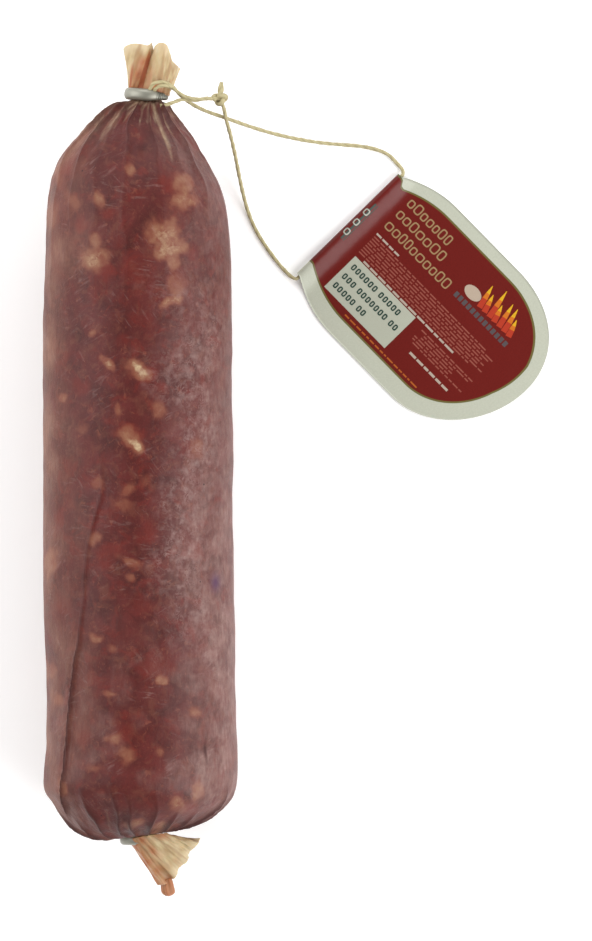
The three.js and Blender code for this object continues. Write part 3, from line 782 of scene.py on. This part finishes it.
# stains of meat juice down each tail: x at the cut edge, half width, nearest and furthest share of the
# length, strength
topTailStains = [(1.6, 2.9, -0.2, 0.95, 0.7), (-1.0, 1.1, -0.1, 0.75, 1.0), (3.3, 0.55, 0.0, 1.0, 1.25),
                 (6.6, 1.6, -0.1, 0.45, 0.85)]
bottomTailStains = [(6.4, 3.4, -0.2, 1.3, 0.62), (5.0, 0.5, 0.0, 1.1, 0.8), (7.6, 0.5, 0.0, 1.0, 0.6),
                    (9.8, 0.7, 0.0, 0.7, 0.6), (13.0, 0.6, 0.0, 0.5, 0.4)]


def makeTail(s, edge, root, stains, drape, ruffle, seed):
    # a film from the squeezed neck to the cut edge, with a few broad folds and many small creases
    count, rows = s["columns"], s["rows"]
    loop = evenly(splineThrough([*edge, edge[0]]), count + 1)[0][:-1]
    # each edge point leaves the neck at the matching side, front or back
    share = np.linspace(0, 2 * math.pi, count, endpoint=False)
    front = 0.5 + 0.5 * np.sign(np.sin(share)) * np.abs(np.sin(share)) ** 0.45
    startX = root["x"] + root["half"] * np.cos(share)
    startY = root["back"][0] + (root["front"][0] - root["back"][0]) * front + root["tilt"] * np.cos(share)
    startZ = root["back"][1] + (root["front"][1] - root["back"][1]) * front
    start = np.column_stack([startX, startY, startZ])
    t = np.linspace(0, 1, rows)[:, None]
    pace = np.stack([t, t, t ** drape], axis=2)     # the height changes at its own pace
    grid = start + (loop - start) * pace + [0, 0, axisHeight]
    normal = gridNormals(grid)
    rng = random.Random(seed)
    waves = sum(rng.uniform(-0.8, 0.8) * np.sin((k + 2) * share + k) for k in range(7))
    rib = np.sin(s["ribCount"] * share + waves) * (1.1 - 0.35 * t)
    spoke = np.stack(np.broadcast_arrays(np.cos(share) * 4, np.sin(share) * 4, t * 1.6), axis=2)
    creases = softNoise(spoke, 1.0, seed) + 0.6 * softNoise(spoke, 0.4, seed + 1)
    outer = grid + normal * (s["ribHeight"] * rib + ruffle * s["creaseHeight"] * creases)[:, :, None]
    inner = outer - normal * s["filmThickness"]
    layer, last = rows * count, (rows - 1) * count
    faces = gridFaces(rows, count) + [f[::-1] for f in gridFaces(rows, count, first=layer)]
    for j in range(count):
        k = (j + 1) % count
        faces.append((last + j, last + k, last + k + layer, last + j + layer))
        faces.append((k, j, j + layer, k + layer))
    stain = np.zeros((rows, count))
    for middle, half, near, far, strength in stains:
        reach = smoothStep(far, far - 0.35, t) * smoothStep(near - 0.2, near + 0.1, t)
        stain = np.maximum(stain, strength * np.exp(-((loop[:, 0] - middle) / half) ** 2) * reach)
    stain = stain + 0.3 * softNoise(grid, 2.4, seed + 2) + 0.25 * smoothStep(0.3, 0.0, t)
    # painted shade: darker in the valleys between the ribs and creases
    valleyShade = smoothStep(0.1, -0.75, creases + 0.4 * rib)
    masks = {"stain": stain, "valleyShade": valleyShade, "cut": smoothStep(0.72, 1.0, t) + 0 * stain}
    masks = {key: np.tile(v.ravel(), 2) for key, v in masks.items()}
    sheet = np.stack(np.broadcast_arrays(share * 3.2, t * 12, 0 * t), axis=2)
    masks["sheet"] = np.tile(sheet.reshape(-1, 3), (2, 1))
    return np.vstack([outer.reshape(-1, 3), inner.reshape(-1, 3)]), faces, masks


def dryCasing(s):
    # dried collagen with no meat behind it: thin and waxy, cream to olive, stained orange along its folds,
    # with painted shade in the valleys of its creases
    material, tree, shader = newMaterial("dryCasing", {
        "Roughness": 0.42, "IOR": 1.45, "Specular IOR Level": 0.4, "Subsurface Weight": 0.3,
        "Subsurface Scale": 0.6 * mm, "Subsurface Radius": (1.0, 0.6, 0.35)})
    names = ("stain", "valleyShade", "cut")
    read = {name: addNode(tree, "Attribute", {"attribute_name": name}, "Fac") for name in names}
    sheet = addNode(tree, "Attribute", {"attribute_name": "sheet"}, "Vector")
    drawn = addNode(tree, "Mapping", {"Vector": sheet, "Scale": (1.3, 0.25, 1.0)})
    streaks = addNode(tree, "TexNoise", {"Vector": drawn, "Scale": 1.0, "Detail": 4.0, "Roughness": 0.5})
    blotch = addNode(tree, "Math", {"operation": "MULTIPLY_ADD", 0: streaks, 1: 0.6, 2: -0.3})
    stained = addNode(tree, "Math", {"operation": "ADD", 0: read["stain"], 1: blotch})
    color = layTone(tree, *s["filmTones"], (streaks, 0.25, 0.75))
    for mask, low, high, most, tone in (
        (read["cut"], 0.0, 1.0, 0.5, s["cutTone"]),
        (stained, 0.05, 0.8, 0.85, s["stainTone"]),
        (stained, 0.75, 1.15, 0.7, s["deepStainTone"]),
        (read["valleyShade"], 0.2, 1.0, 0.4, s["valleyShadeTone"]),
    ):
        color = layTone(tree, color, tone, (mask, low, high, most))
    fine = addNode(tree, "TexNoise", {"Scale": 900.0, "Detail": 4.0})
    relief = addNode(tree, "Math", {"operation": "MULTIPLY_ADD", 0: fine, 1: 0.4, 2: streaks})
    finishShader(tree, shader, color, relief, 0.6, 0.15)
    return material


tailMaterial = dryCasing(tails)
for name, edge, root, stains, drape, ruffle, seed in (
    ("topTail", topTailEdge, topTailRoot, topTailStains, 0.5, 1.0, 61),
    ("bottomTail", bottomTailEdge, bottomTailRoot, bottomTailStains, 1.3, 1.8, 71),
):
    points, faces, masks = makeTail(tails, edge, root, stains, drape, ruffle, seed)
    addMesh(name, points, faces, tailMaterial, masks)
print("tails gathered")


# the drawn-out end of the casing at the tip of the bottom tail

tip = {
    "start": (7.2, -112.4, 0.6),
    "end": (7.9, -117.3, -0.8),
    "radius": 1.55,
    "folds": 5,
    "stain": 0.78,
    "roundFrom": 0.72,      # share of the length where the rounded end starts
    "sides": 40,
    "steps": 40,
}


def makeTip(s):
    start, end = (np.array(s[key]) + [0, 0, axisHeight] for key in ("start", "end"))
    path = start + np.linspace(0, 1, s["steps"])[:, None] * (end - start)
    length = np.linalg.norm(end - start)

    def radiusAt(angles, distance):
        t = distance / length
        end = math.sqrt(max(0.0, 1 - max(0.0, (t - s["roundFrom"]) / (1.005 - s["roundFrom"])) ** 2))
        folds = 1 + 0.09 * np.sin(s["folds"] * angles + 2.0 * t) + 0.05 * np.sin(9 * angles - t)
        return s["radius"] * (0.8 + 0.35 * math.sin(2.4 * t)) * folds * end

    points, faces, along, angles = sweepTube(path, s["sides"], radiusAt)
    # painted shade in the valleys between the tip's folds
    rib = 0.5 + 0.5 * np.sin(s["folds"] * angles + 2.0 * along / length)
    sheet = np.stack([angles * 1.5, along, 0 * along], axis=1)
    return points, faces, {"stain": s["stain"] + 0 * rib, "valleyShade": 1 - rib, "cut": 0 * rib, "sheet": sheet}


tipPoints, tipFaces, tipMasks = makeTip(tip)
addMesh("bottomTailTip", tipPoints, tipFaces, tailMaterial, tipMasks)


# wire clips, closed round the gathered necks

clip = {
    "width": 12.6,
    "height": 11.0,
    "wire": 3.3,            # at the left end, its thickest
    "tongueWire": 1.9,      # at the right end, where the tongue lies
    "bar": 2.6,
    "teeth": 26,            # fine teeth pressed into the tongue, per half turn
    "toothDepth": 0.26,
    "around": 220,
    "sides": 28,
    "tilt": -5.4,           # the top one lies askew on its neck, in degrees
    "lacquerTones": ("#75746a", "#a09e90"),
    "toothShadeTone": "#2f302a",
}


def coatedWire(s):
    # aluminium wire in a pale lacquer: a soft grey-green sheen, rubbed brighter where it is pressed, with
    # painted shade in the grooves between its teeth
    material, tree, shader = newMaterial("lacqueredAluminiumWire", {"Metallic": 0.35, "Roughness": 0.36})
    rub = addNode(tree, "TexNoise", {"Scale": 700.0, "Detail": 5.0, "Roughness": 0.7})
    toothGrooveShade = addNode(tree, "Attribute", {"attribute_name": "toothGrooveShade"}, "Fac")
    # painted shade in the grooves between the teeth
    color = layTone(tree, layTone(tree, *s["lacquerTones"], rub), s["toothShadeTone"], toothGrooveShade)
    finishShader(tree, shader, color, rub, 0.3, 0.05)
    return material


wireMaterial = coatedWire(clip)


def makeClip(s, centreX, centreY, tilt):
    around = np.linspace(0, 2 * math.pi, s["around"], endpoint=False)
    sides = np.linspace(0, 2 * math.pi, s["sides"], endpoint=False)
    ringX, ringZ = (s["width"] - s["bar"]) / 2, (s["height"] - s["bar"]) / 2
    a, b = around[:, None], sides[None, :]
    tongue = smoothStep(-0.1, 0.95, np.cos(a))
    wire = s["wire"] + (s["tongueWire"] - s["wire"]) * tongue
    bar = s["bar"] * (1 - 0.3 * tongue)
    toothZone = smoothStep(0.35, 0.6, np.cos(a)) * smoothStep(0.99, 0.93, np.cos(a))
    teeth = toothZone * (0.5 + 0.5 * np.cos(2 * s["teeth"] * a)) * (np.cos(b) > -0.2)
    # rounded box section: c points away from the neck, d along the sausage
    c = np.sign(np.cos(b)) * np.abs(np.cos(b)) ** 0.8
    d = np.sign(np.sin(b)) * np.abs(np.sin(b)) ** 0.8
    outward = c * bar / 2 - teeth * s["toothDepth"]
    x, y, z = np.cos(a) * (ringX + outward), d * wire / 2, np.sin(a) * (ringZ + outward)
    turn = math.radians(tilt)
    x, y = x * math.cos(turn) - y * math.sin(turn), x * math.sin(turn) + y * math.cos(turn)
    points = np.stack([x + centreX, y + centreY, z + axisHeight], axis=2).reshape(-1, 3)
    count = s["sides"]
    faces = gridFaces(s["around"], count)
    last = (s["around"] - 1) * count
    faces += [(last + j, last + (j + 1) % count, (j + 1) % count, j) for j in range(count)]
    return points, faces, {"toothGrooveShade": teeth.ravel()}


for name, node, tilt in (("topClip", "top_clip", clip["tilt"]), ("bottomClip", "bottom_clip", 0.0)):
    low, high = boxOf(node)
    points, faces, masks = makeClip(clip, (low[0] + high[0]) / 2, (low[1] + high[1]) / 2, tilt)
    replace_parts(addMesh(name, points, faces, wireMaterial, masks), node)
print("clips closed")


# the twine's turns at the neck, its knot and loose fibres

hitchStrands = [
    [(2.6, 103.0, 27.4), (2.7, 104.4, 29.8), (3.7, 105.9, 30.7), (5.6, 106.4, 30.3), (7.4, 106.0, 28.4),
     (8.5, 105.5, 26.4), (8.95, 105.2, 25.2)],
    [(3.5, 102.8, 27.6), (3.9, 104.2, 29.7), (5.0, 105.1, 30.5), (6.5, 105.4, 30.2), (7.7, 105.3, 28.9),
     (8.6, 105.1, 27.5)],
    [(1.6, 101.2, 25.8), (3.4, 100.2, 28.2), (5.2, 99.9, 29.2), (7.2, 100.2, 28.9), (9.2, 100.9, 28.0),
     (11.2, 101.6, 27.0), (13.4, 101.6, 26.2), (15.6, 101.5, 25.6), (17.6, 101.6, 25.1)],
    [(8.8, 105.4, 25.4), (8.0, 105.7, 22.6), (5.6, 105.9, 20.8), (2.2, 106.0, 20.6), (-1.2, 105.9, 21.8),
     (-2.6, 105.6, 24.0), (-1.6, 105.2, 26.0)],
]
hitchTapers = [0.0, 0.0, 4.0, 0.0]      # only the third strand has a loose end that frays
hitchParts = [twineParts(splineThrough(p), twine, endTaper=taper)
              for p, taper in zip(hitchStrands, hitchTapers)]
hitch = addTwinePiece("neckTwine", hitchParts)
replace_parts(hitch, "twine_hitch")

knot = {
    "centre": (21.8, 101.9, 24.2),
    "width": 1.5,
    "height": 1.2,
    "depth": 0.72,
    "strand": 0.62,         # radius of the twine in the tight turns
    "tailStrand": 0.66,
    "tailTaper": 3.4,
    "tailLength": 4.7,
}


def knotPaths(s):
    # an overhand knot: a small trefoil with two short ends above it
    t = np.linspace(0.35, 2 * math.pi - 0.35, 90)
    x = (np.sin(t) + 2 * np.sin(2 * t)) / 2.4 * s["width"]
    y = (np.cos(t) - 2 * np.cos(2 * t)) / 2.6 * s["height"]
    z = -np.sin(3 * t) * s["depth"]
    centre = np.array(s["centre"])
    loop = np.column_stack([x, y, z]) + centre
    ends = []
    for lean, back in ((0.3, 0.4), (1.0, -0.35)):
        ends.append(centre + np.array([
            (0.1 * lean, 0.3, back), (0.35 * lean, 1.8, back),
            (0.55 * lean, 3.2, back * 0.8), (0.75 * lean, s["tailLength"], back * 0.6)]))
    return loop, ends


knotLoop, knotEnds = knotPaths(knot)
knotParts = [twineParts(knotLoop, twine, radius=knot["strand"])]
knotParts += [twineParts(splineThrough(p), twine, radius=knot["tailStrand"], endTaper=knot["tailTaper"])
              for p in knotEnds]
twineKnot = addTwinePiece("twineKnot", knotParts)
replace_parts(twineKnot, "twine_knot")


def looseFibres(s, path):
    # single fibres, 0.05 mm thick, that stand out of the twist
    rng = random.Random(5)
    parts = []
    even, _ = evenly(path, 600)
    for _ in range(s["fuzzCount"]):
        i = rng.randrange(6, len(even) - 8)
        start = even[i]
        if start[2] < s["fuzzLow"] and rng.random() < s["fuzzPressed"]:
            continue
        forward = even[i + 3] - even[i]
        forward /= np.linalg.norm(forward)
        lean = np.cross(forward, [rng.uniform(-1, 1), rng.uniform(-1, 1), rng.uniform(-1, 1)])
        lean /= np.linalg.norm(lean)
        if start[2] < s["fuzzLow"]:
            lean[2] = abs(lean[2])
        reach = s["fuzzLength"] * rng.uniform(0.4, 1.0)
        t = np.linspace(0, 1, 7)[:, None]
        curl = forward * rng.choice((-1, 1))
        bow = lean * (0.35 + reach * 0.45 * np.sin(t * 1.4))
        fibre = start + bow + curl * reach * t * rng.uniform(0.5, 1.0)
        fibre[:, 2] = np.maximum(fibre[:, 2], s["fuzzRest"])
        points, faces, along, angles = sweepTube(fibre, 4, lambda a, d: np.full(4, s["fuzzRadius"]))
        parts.append((points, faces, 1.0 + 0 * along, np.stack([along, angles, 0 * along], axis=1)))
    return parts


addTwinePiece("twineFibres", looseFibres(twine, loopPath))
print("knot tied")


# label: a printed film folded over the twine, its two leaves stuck together

label = {
    "width": 49.4,
    "length": 67.6,
    "endSkew": 3.0,         # how far the round end leans towards the twine's entry
    "foldWidth": 39.4,
    "shoulderRun": 17.0,
    "slope": 5.4,           # from the channel to where the leaves meet
    "columns": 72,
    "leafRows": 84,
    "foldRows": 22,
    "borderLeft": 4.9,
    "borderRight": 3.4,
    "line": 0.55,
    "lift": 0.45,           # how far the film bends up from the table
    "edge": 0.06,           # the softness of the printed edges
    "entrySpread": 3.4,     # how far the red field runs out at the twine's entry
    "fieldTones": ("#58120e", "#6b1a14"),
    "borderTones": ("#a7aa99", "#bbbdae"),
    "lineTone": "#645c33",
}
foldTop, foldBottom = np.array([71.6, 80.7]), np.array([44.1, 53.8])
foldMiddle = (foldTop + foldBottom) / 2
foldAlong = (foldBottom - foldTop) / np.linalg.norm(foldBottom - foldTop)
foldAway = np.array([-foldAlong[1], foldAlong[0]])


def toTable(u, v, z):
    # label's own place, u along the fold and v away from it, to the table's
    xy = foldMiddle + np.asarray(u)[..., None] * foldAlong + np.asarray(v)[..., None] * foldAway
    return np.concatenate([xy, np.asarray(z)[..., None] + 0 * xy[..., :1]], axis=-1)


def labelSides(s, v):
    # half width and middle of the label at a distance from its fold
    straight = s["length"] - foldRadius - s["width"] / 2
    half = s["width"] / 2
    run = np.clip(v / s["shoulderRun"], 0, 1)
    wide = half - (half - s["foldWidth"] / 2) * (1 - run) ** 2
    past = np.clip(v - straight, 0, half)
    wide = np.minimum(wide, np.sqrt(np.maximum(half ** 2 - past ** 2, 0)))
    return wide, -s["endSkew"] * (past / half) ** 2


def filmLift(s, u, v):
    wave = 0.55 + 0.45 * np.sin(u * 0.09 + 0.7)
    return s["lift"] * smoothStep(12, 66, v) * wave * smoothStep(-26, 4, u + v * 0.3)


def topLeafHeight(s, u, v):
    # middle of the upper leaf: down from the fold, then close on the lower one
    crest = 2 * foldRadius - leafThickness / 2
    low = 1.5 * leafThickness + 0.02
    drop = low + (crest - low) * (1 - smoothStep(0, 1, np.clip(v / s["slope"], 0, 1)) ** 0.8)
    return drop + filmLift(s, u, v)


def makeLabel(s):
    farEnd = s["length"] - foldRadius
    half = s["width"] / 2
    straight = farEnd - half
    ease = np.linspace(0, 1, s["leafRows"])
    share = straight / (straight + half * math.pi / 2)
    v = np.where(ease < share, ease / share * straight,
                 straight + half * np.sin(np.clip((ease - share) / (1 - share), 0, 1) * math.pi / 2))
    middleRadius = foldRadius - leafThickness / 2
    rows = [(value, leafThickness / 2, "lower") for value in v[::-1]]
    for turn in np.linspace(-math.pi / 2, -3 * math.pi / 2, s["foldRows"] + 2)[1:-1]:
        rows.append((middleRadius * math.cos(turn), foldRadius + middleRadius * math.sin(turn), "fold"))
    rows += [(value, None, "upper") for value in v]
    xi = np.linspace(-1, 1, s["columns"])
    points, place, rim = [], [], []
    for value, height, leaf in rows:
        wide, middle = labelSides(s, max(value, 0.0))
        wide = max(float(wide), 0.02)
        u = xi * wide
        if leaf == "upper":
            z = topLeafHeight(s, u + middle, value)
        else:
            z = height + (filmLift(s, u + middle, value) if leaf == "lower" else 0 * u)
        points.append(toTable(u + middle, np.full_like(u, value), z))
        past = max(value - straight, 0.0)
        gap = half - np.hypot(u, past) if past > 0 else wide - np.abs(u)
        place.append(np.stack([u, np.full_like(u, value), 0 * u], axis=1))
        # the field runs out to the edge on the fold, at the twine's entry
        spread = 0 if leaf == "lower" else s["entrySpread"] * smoothStep(2.6, 0.2, value) * (xi < 0)
        rim.append(np.minimum(gap, farEnd - value) + spread)
    grid = np.array(points)
    normal = -gridNormals(grid, closed=False)
    outer = grid + normal * leafThickness / 2
    inner = grid - normal * leafThickness / 2
    outer[:, :, 2] = np.maximum(outer[:, :, 2], 0.0)
    masks = {"place": np.tile(np.vstack(place), (2, 1)), "rim": np.tile(np.concatenate(rim), 2)}
    points = np.vstack([outer.reshape(-1, 3), inner.reshape(-1, 3)])
    return points, sheetFaces(len(rows), s["columns"]), masks


def laminatedPrint(s):
    # offset print under a clear laminate: even dark red with a soft gloss, and bare ivory film round it
    material, tree, shader = newMaterial("laminatedPrint", {
        "Roughness": 0.34, "IOR": 1.5, "Specular IOR Level": 0.3})
    rim = addNode(tree, "Attribute", {"attribute_name": "rim"}, "Fac")
    place = addNode(tree, "Attribute", {"attribute_name": "place"}, "Vector")
    side = addNode(tree, "SeparateXYZ", {"Vector": place}, "X")
    border = addNode(tree, "MapRange", {"Value": side, "From Min": -6.0, "From Max": 6.0,
                                        "To Min": s["borderRight"], "To Max": s["borderLeft"]})
    inset = addNode(tree, "Math", {"operation": "SUBTRACT", 0: rim, 1: border})
    grain = addNode(tree, "TexNoise", {"Vector": place, "Scale": 2.2, "Detail": 3.0})
    red, ivory = (layTone(tree, *s[tones], grain) for tones in ("fieldTones", "borderTones"))
    color = layTone(tree, ivory, s["lineTone"], (inset, 0.0, s["edge"]))
    color = layTone(tree, color, red, (inset, s["line"], s["line"] + s["edge"]))
    # waviness of a thin film that has been handled, about 6 mm from crest to crest
    wave = addNode(tree, "TexNoise", {"Vector": place, "Scale": 0.16, "Detail": 2.0})
    finishShader(tree, shader, color, wave, 0.35, 0.5)
    return material


labelPoints, labelFaces, labelMasks = makeLabel(label)
hangLabel = addMesh("hangLabel", labelPoints, labelFaces, laminatedPrint(label), labelMasks)
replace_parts(hangLabel, "label")
print("label folded")


# print on the label: plain bars, boxes and strokes in screen-print inks, each a film of its own

ink = {
    "thickness": 0.05,
    "step": 2.0,            # longest stretch of film that one face spans
    "lineHeight": 0.36,
    "linePitch": 0.84,
    "boxStroke": 0.4,
    "stampStroke": 0.38,
    "foldStroke": 0.36,
    "wornTone": "#6a241c",
    "seed": 8,
}


def printSurface(u, v):
    # outer face of the upper leaf, and of the fold where v is below zero
    over = foldRadius + np.sqrt(np.maximum(foldRadius ** 2 - np.minimum(v, 0) ** 2, 0))
    return np.where(v < 0, over, topLeafHeight(label, u, np.maximum(v, 0)) + leafThickness / 2)


def inkPatch(corners, over=0.0):
    # a closed thin patch between four corners, in label millimetres, that follows the film
    a, b, c, d = (np.array(corner, float) for corner in corners)
    across = max(2, int(np.linalg.norm(b - a) / ink["step"]) + 2)
    down = max(2, int(np.linalg.norm(d - a) / ink["step"]) + 2)
    i, j = np.linspace(0, 1, across)[None, :, None], np.linspace(0, 1, down)[:, None, None]
    flat = (a * (1 - i) + b * i) * (1 - j) + (d * (1 - i) + c * i) * j
    u, v = flat[..., 0], flat[..., 1]
    top = toTable(u, v, printSurface(u, v) + ink["thickness"] / 2 + over)
    under = top - [0, 0, ink["thickness"]]
    return np.vstack([top.reshape(-1, 3), under.reshape(-1, 3)]), sheetFaces(down, across)


def bar(u0, v0, u1, v1):
    return inkPatch([(u0, v0), (u1, v0), (u1, v1), (u0, v1)])


def roundedBox(u0, v0, u1, v1, stroke, over=0.0):
    # an open box with round corners, in sixteen short pieces
    middle, half = np.array([u0 + u1, v0 + v1]) / 2, np.array([u1 - u0, v1 - v0]) / 2
    turns = np.linspace(0, 2 * math.pi, 17)
    ring = np.column_stack([np.sign(f(turns)) * np.abs(f(turns)) ** 0.6 for f in (np.cos, np.sin)])
    outer, inner = middle + half * ring, middle + (half - stroke) * ring
    return [inkPatch([outer[k], outer[k + 1], inner[k + 1], inner[k]], over) for k in range(16)]


def wedge(start, end, startWidth, endWidth):
    # a stroke that changes width along its length
    start, end = np.array(start), np.array(end)
    side = np.array([start[1] - end[1], end[0] - start[0]]) / np.linalg.norm(end - start) / 2
    return inkPatch([start - side * startWidth, start + side * startWidth,
                     end + side * endWidth, end - side * endWidth])


def brokenLine(u, v0, v1, height, rng, low=0.8, high=3.2, gap=0.45):
    parts, v = [], v0
    while v < v1 - low:
        end = min(v + rng.uniform(low, high), v1)
        parts.append(bar(u - height / 2, v, u + height / 2, end))
        v = end + gap
    return parts


def printInk(name, code, parts):
    # screen-print ink: flat colour with a slightly open grain that lets the red through, softly glossy
    material, tree, shader = newMaterial(name, {"Roughness": 0.4, "IOR": 1.5, "Specular IOR Level": 0.4})
    grain = addNode(tree, "TexNoise", {"Scale": 3300.0, "Detail": 2.0})
    worn = addNode(tree, "TexNoise", {"Scale": 260.0, "Detail": 3.0})
    color = layTone(tree, code, ink["wornTone"], (grain, 0.5, 0.8, 0.25))
    color = layTone(tree, color, ink["wornTone"], (worn, 0.55, 0.8, 0.2))
    tree.links.new(color, shader.inputs["Base Color"])
    points, faces = joinParts(parts)[:2]
    addMesh(name, points, faces, material, smooth=False)


rng = random.Random(ink["seed"])
printInk("ivoryPanelInk", "#a8ab9b", [bar(4.7, 6.8, 16.8, 30.7)])

marks = []
for u, last in ((7.2, 28.8), (10.7, 29.2), (14.2, 20.2)):
    v = 8.2
    while v < last - 1:
        marks += roundedBox(u - 0.9, v, u + 0.9, v + 1.2, ink["stampStroke"], ink["thickness"])
        v += 1.2 + rng.choice((0.45, 0.45, 1.3))
printInk("greenStampInk", "#173a31", marks)

title = []
for u, last in ((-16.4, 22.4), (-12.1, 23.8), (-7.7, 30.2)):
    v = 6.4
    while v < last - 1:
        wide, tall = rng.uniform(1.7, 2.5), rng.choice((1.2, 1.2, 1.9))
        title += roundedBox(u - tall, v, u + 1.2, v + wide, ink["boxStroke"])
        v += wide + 0.4
printInk("goldTitleInk", "#957a55", title)

lines = []
for row in range(8):
    end = 56.5 - rng.uniform(0, 6)
    lines += brokenLine(-2.8 + row * ink["linePitch"], 6.6, end, ink["lineHeight"], rng)
for row in range(6):
    start, end = 33.5 + rng.uniform(0, 3), 55 - rng.uniform(0, 7)
    lines += brokenLine(5.9 + row * ink["linePitch"], start, end, ink["lineHeight"], rng)
printInk("paleRedLineInk", "#8c4a3e", lines)
headings = brokenLine(-3.9, 6.5, 15.2, 0.55, rng, 1.2, 2.6) + brokenLine(4.1, 9.5, 46.0, 0.6, rng, 1.2, 3.4)
headings += brokenLine(12.6, 36.4, 52.6, 0.7, rng, 1.2, 2.6)
printInk("whiteHeadingInk", "#a99b8d", headings)
printInk("orangeLineInk", "#a5561b", brokenLine(18.1, 16.4, 45.0, 0.42, rng, 0.7, 2.4))

# a plain device: an ivory oval and a row of flames, over a grey row of bars
ovalU, ovalV = -11.4, 36.9
turns = np.linspace(0.12, math.pi - 0.12, 10)
across, along = ovalU + 1.8 * np.cos(turns), 2.8 * np.sin(turns)
printInk("ivoryDeviceInk", "#ad9c8a", [
    inkPatch([(across[k], ovalV + along[k]), (across[k + 1], ovalV + along[k + 1]),
              (across[k + 1], ovalV - along[k + 1]), (across[k], ovalV - along[k])]) for k in range(9)])
flameFoot, flameLean = -9.9, 0.25
flames = [(v, 1 + 0.3 * math.sin(v * 1.3)) for v in np.arange(41.0, 53.0, 1.9)]
for name, code, near, far, nearWidth, farWidth in (
    ("scarletDeviceInk", "#a8321a", 0.0, 2.7, 1.7, 1.5),
    ("amberDeviceInk", "#c26a18", 2.7, 4.3, 1.5, 1.1),
    ("yellowDeviceInk", "#cf9f18", 4.3, 6.6, 1.1, 0.15),
):
    printInk(name, code, [
        wedge((flameFoot - near * tall, v - near * flameLean),
              (flameFoot - far * tall, v - far * flameLean), nearWidth, farWidth) for v, tall in flames])
printInk("greyDeviceInk", "#4c4648", [bar(-8.7, v, -7.1, v + 1.15) for v in np.arange(33.4, 53.5, 1.6)])

printInk("darkGreenFoldInk", "#1d2f24", [bar(-9.4, -0.95, 4.1, 1.5)])
foldBoxes = []
for u in (-7.0, -3.1, 0.6):
    foldBoxes += roundedBox(u, -0.55, u + 2.0, 1.15, ink["foldStroke"], ink["thickness"])
printInk("whiteFoldInk", "#a2a699", foldBoxes)
print("label printed")


# floor and light

studio = {
    "floor": "#fcfcfb",
    "floorSize": 3.0,       # metres from the middle to each side
    "floorHeight": -0.0002, # just under the sausage, so that nothing flickers where they meet
    "glow": 0.16,
    "zenith": 0.1,          # strength of the sky straight above, and at the horizon
    "horizon": 1.0,
}


def addFloor(s):
    mesh = bpy.data.meshes.new("tableTop")
    corners = [(x * s["floorSize"], y * s["floorSize"], s["floorHeight"])
               for x, y in ((-1, -1), (1, -1), (1, 1), (-1, 1))]
    mesh.from_pydata(corners, [], [(0, 1, 2, 3)])
    # opal acrylic sheet, lit a little from below, so that shadows stay pale
    material, tree, shader = newMaterial("opalAcrylicSheet", {
        "Roughness": 0.8, "Emission Color": (1, 1, 1, 1), "Emission Strength": s["glow"]})
    tone = addNode(tree, "TexNoise", {"Scale": 30.0, "Detail": 2.0})
    tree.links.new(layTone(tree, s["floor"], "#ffffff", tone), shader.inputs["Base Color"])
    mesh.materials.append(material)
    floor = bpy.data.objects.new("tableTop", mesh)
    bpy.context.scene.collection.objects.link(floor)


def addLight(name, place, aim, size, energy):
    data = bpy.data.lights.new(name, "AREA")
    data.shape = "RECTANGLE"
    data.size, data.size_y = size
    data.energy = energy
    light = bpy.data.objects.new(name, data)
    light.location = place
    light.rotation_euler = (Vector(aim) - Vector(place)).to_track_quat("-Z", "Y").to_euler()
    bpy.context.scene.collection.objects.link(light)


def addWorld(s):
    # brighter towards the horizon, as in a light tent that is open at the top
    world = bpy.data.worlds.new("lightTent")
    world.use_nodes = True
    tree = world.node_tree
    way = addNode(tree, "TexCoord", output="Generated")
    height = addNode(tree, "SeparateXYZ", {"Vector": way}, "Z")
    strength = addNode(tree, "MapRange", {"Value": height, "From Min": 0.1, "From Max": 0.9,
                                          "To Min": s["horizon"], "To Max": s["zenith"]})
    tree.links.new(strength, tree.nodes["Background"].inputs["Strength"])
    tree.nodes["Background"].inputs["Color"].default_value = (1, 1, 1, 1)
    bpy.context.scene.world = world


addFloor(studio)
addWorld(studio)
# place, aim, width and length in metres, watts
for name, place, aim, size, energy in (
    ("softBoxRight", (1.2, -0.5, 0.95), (0.0, 0, 0.02), (1.2, 1.4), 26),
    ("softBoxLeft", (-1.2, 0.3, 0.8), (0.0, 0, 0.02), (1.0, 1.4), 15),
    ("softBoxFar", (-0.1, 1.3, 1.0), (0.02, 0, 0.02), (1.4, 0.8), 12),
):
    addLight(name, place, aim, size, energy)
bpy.context.scene.view_settings.view_transform = "Standard"
print("studio lit")
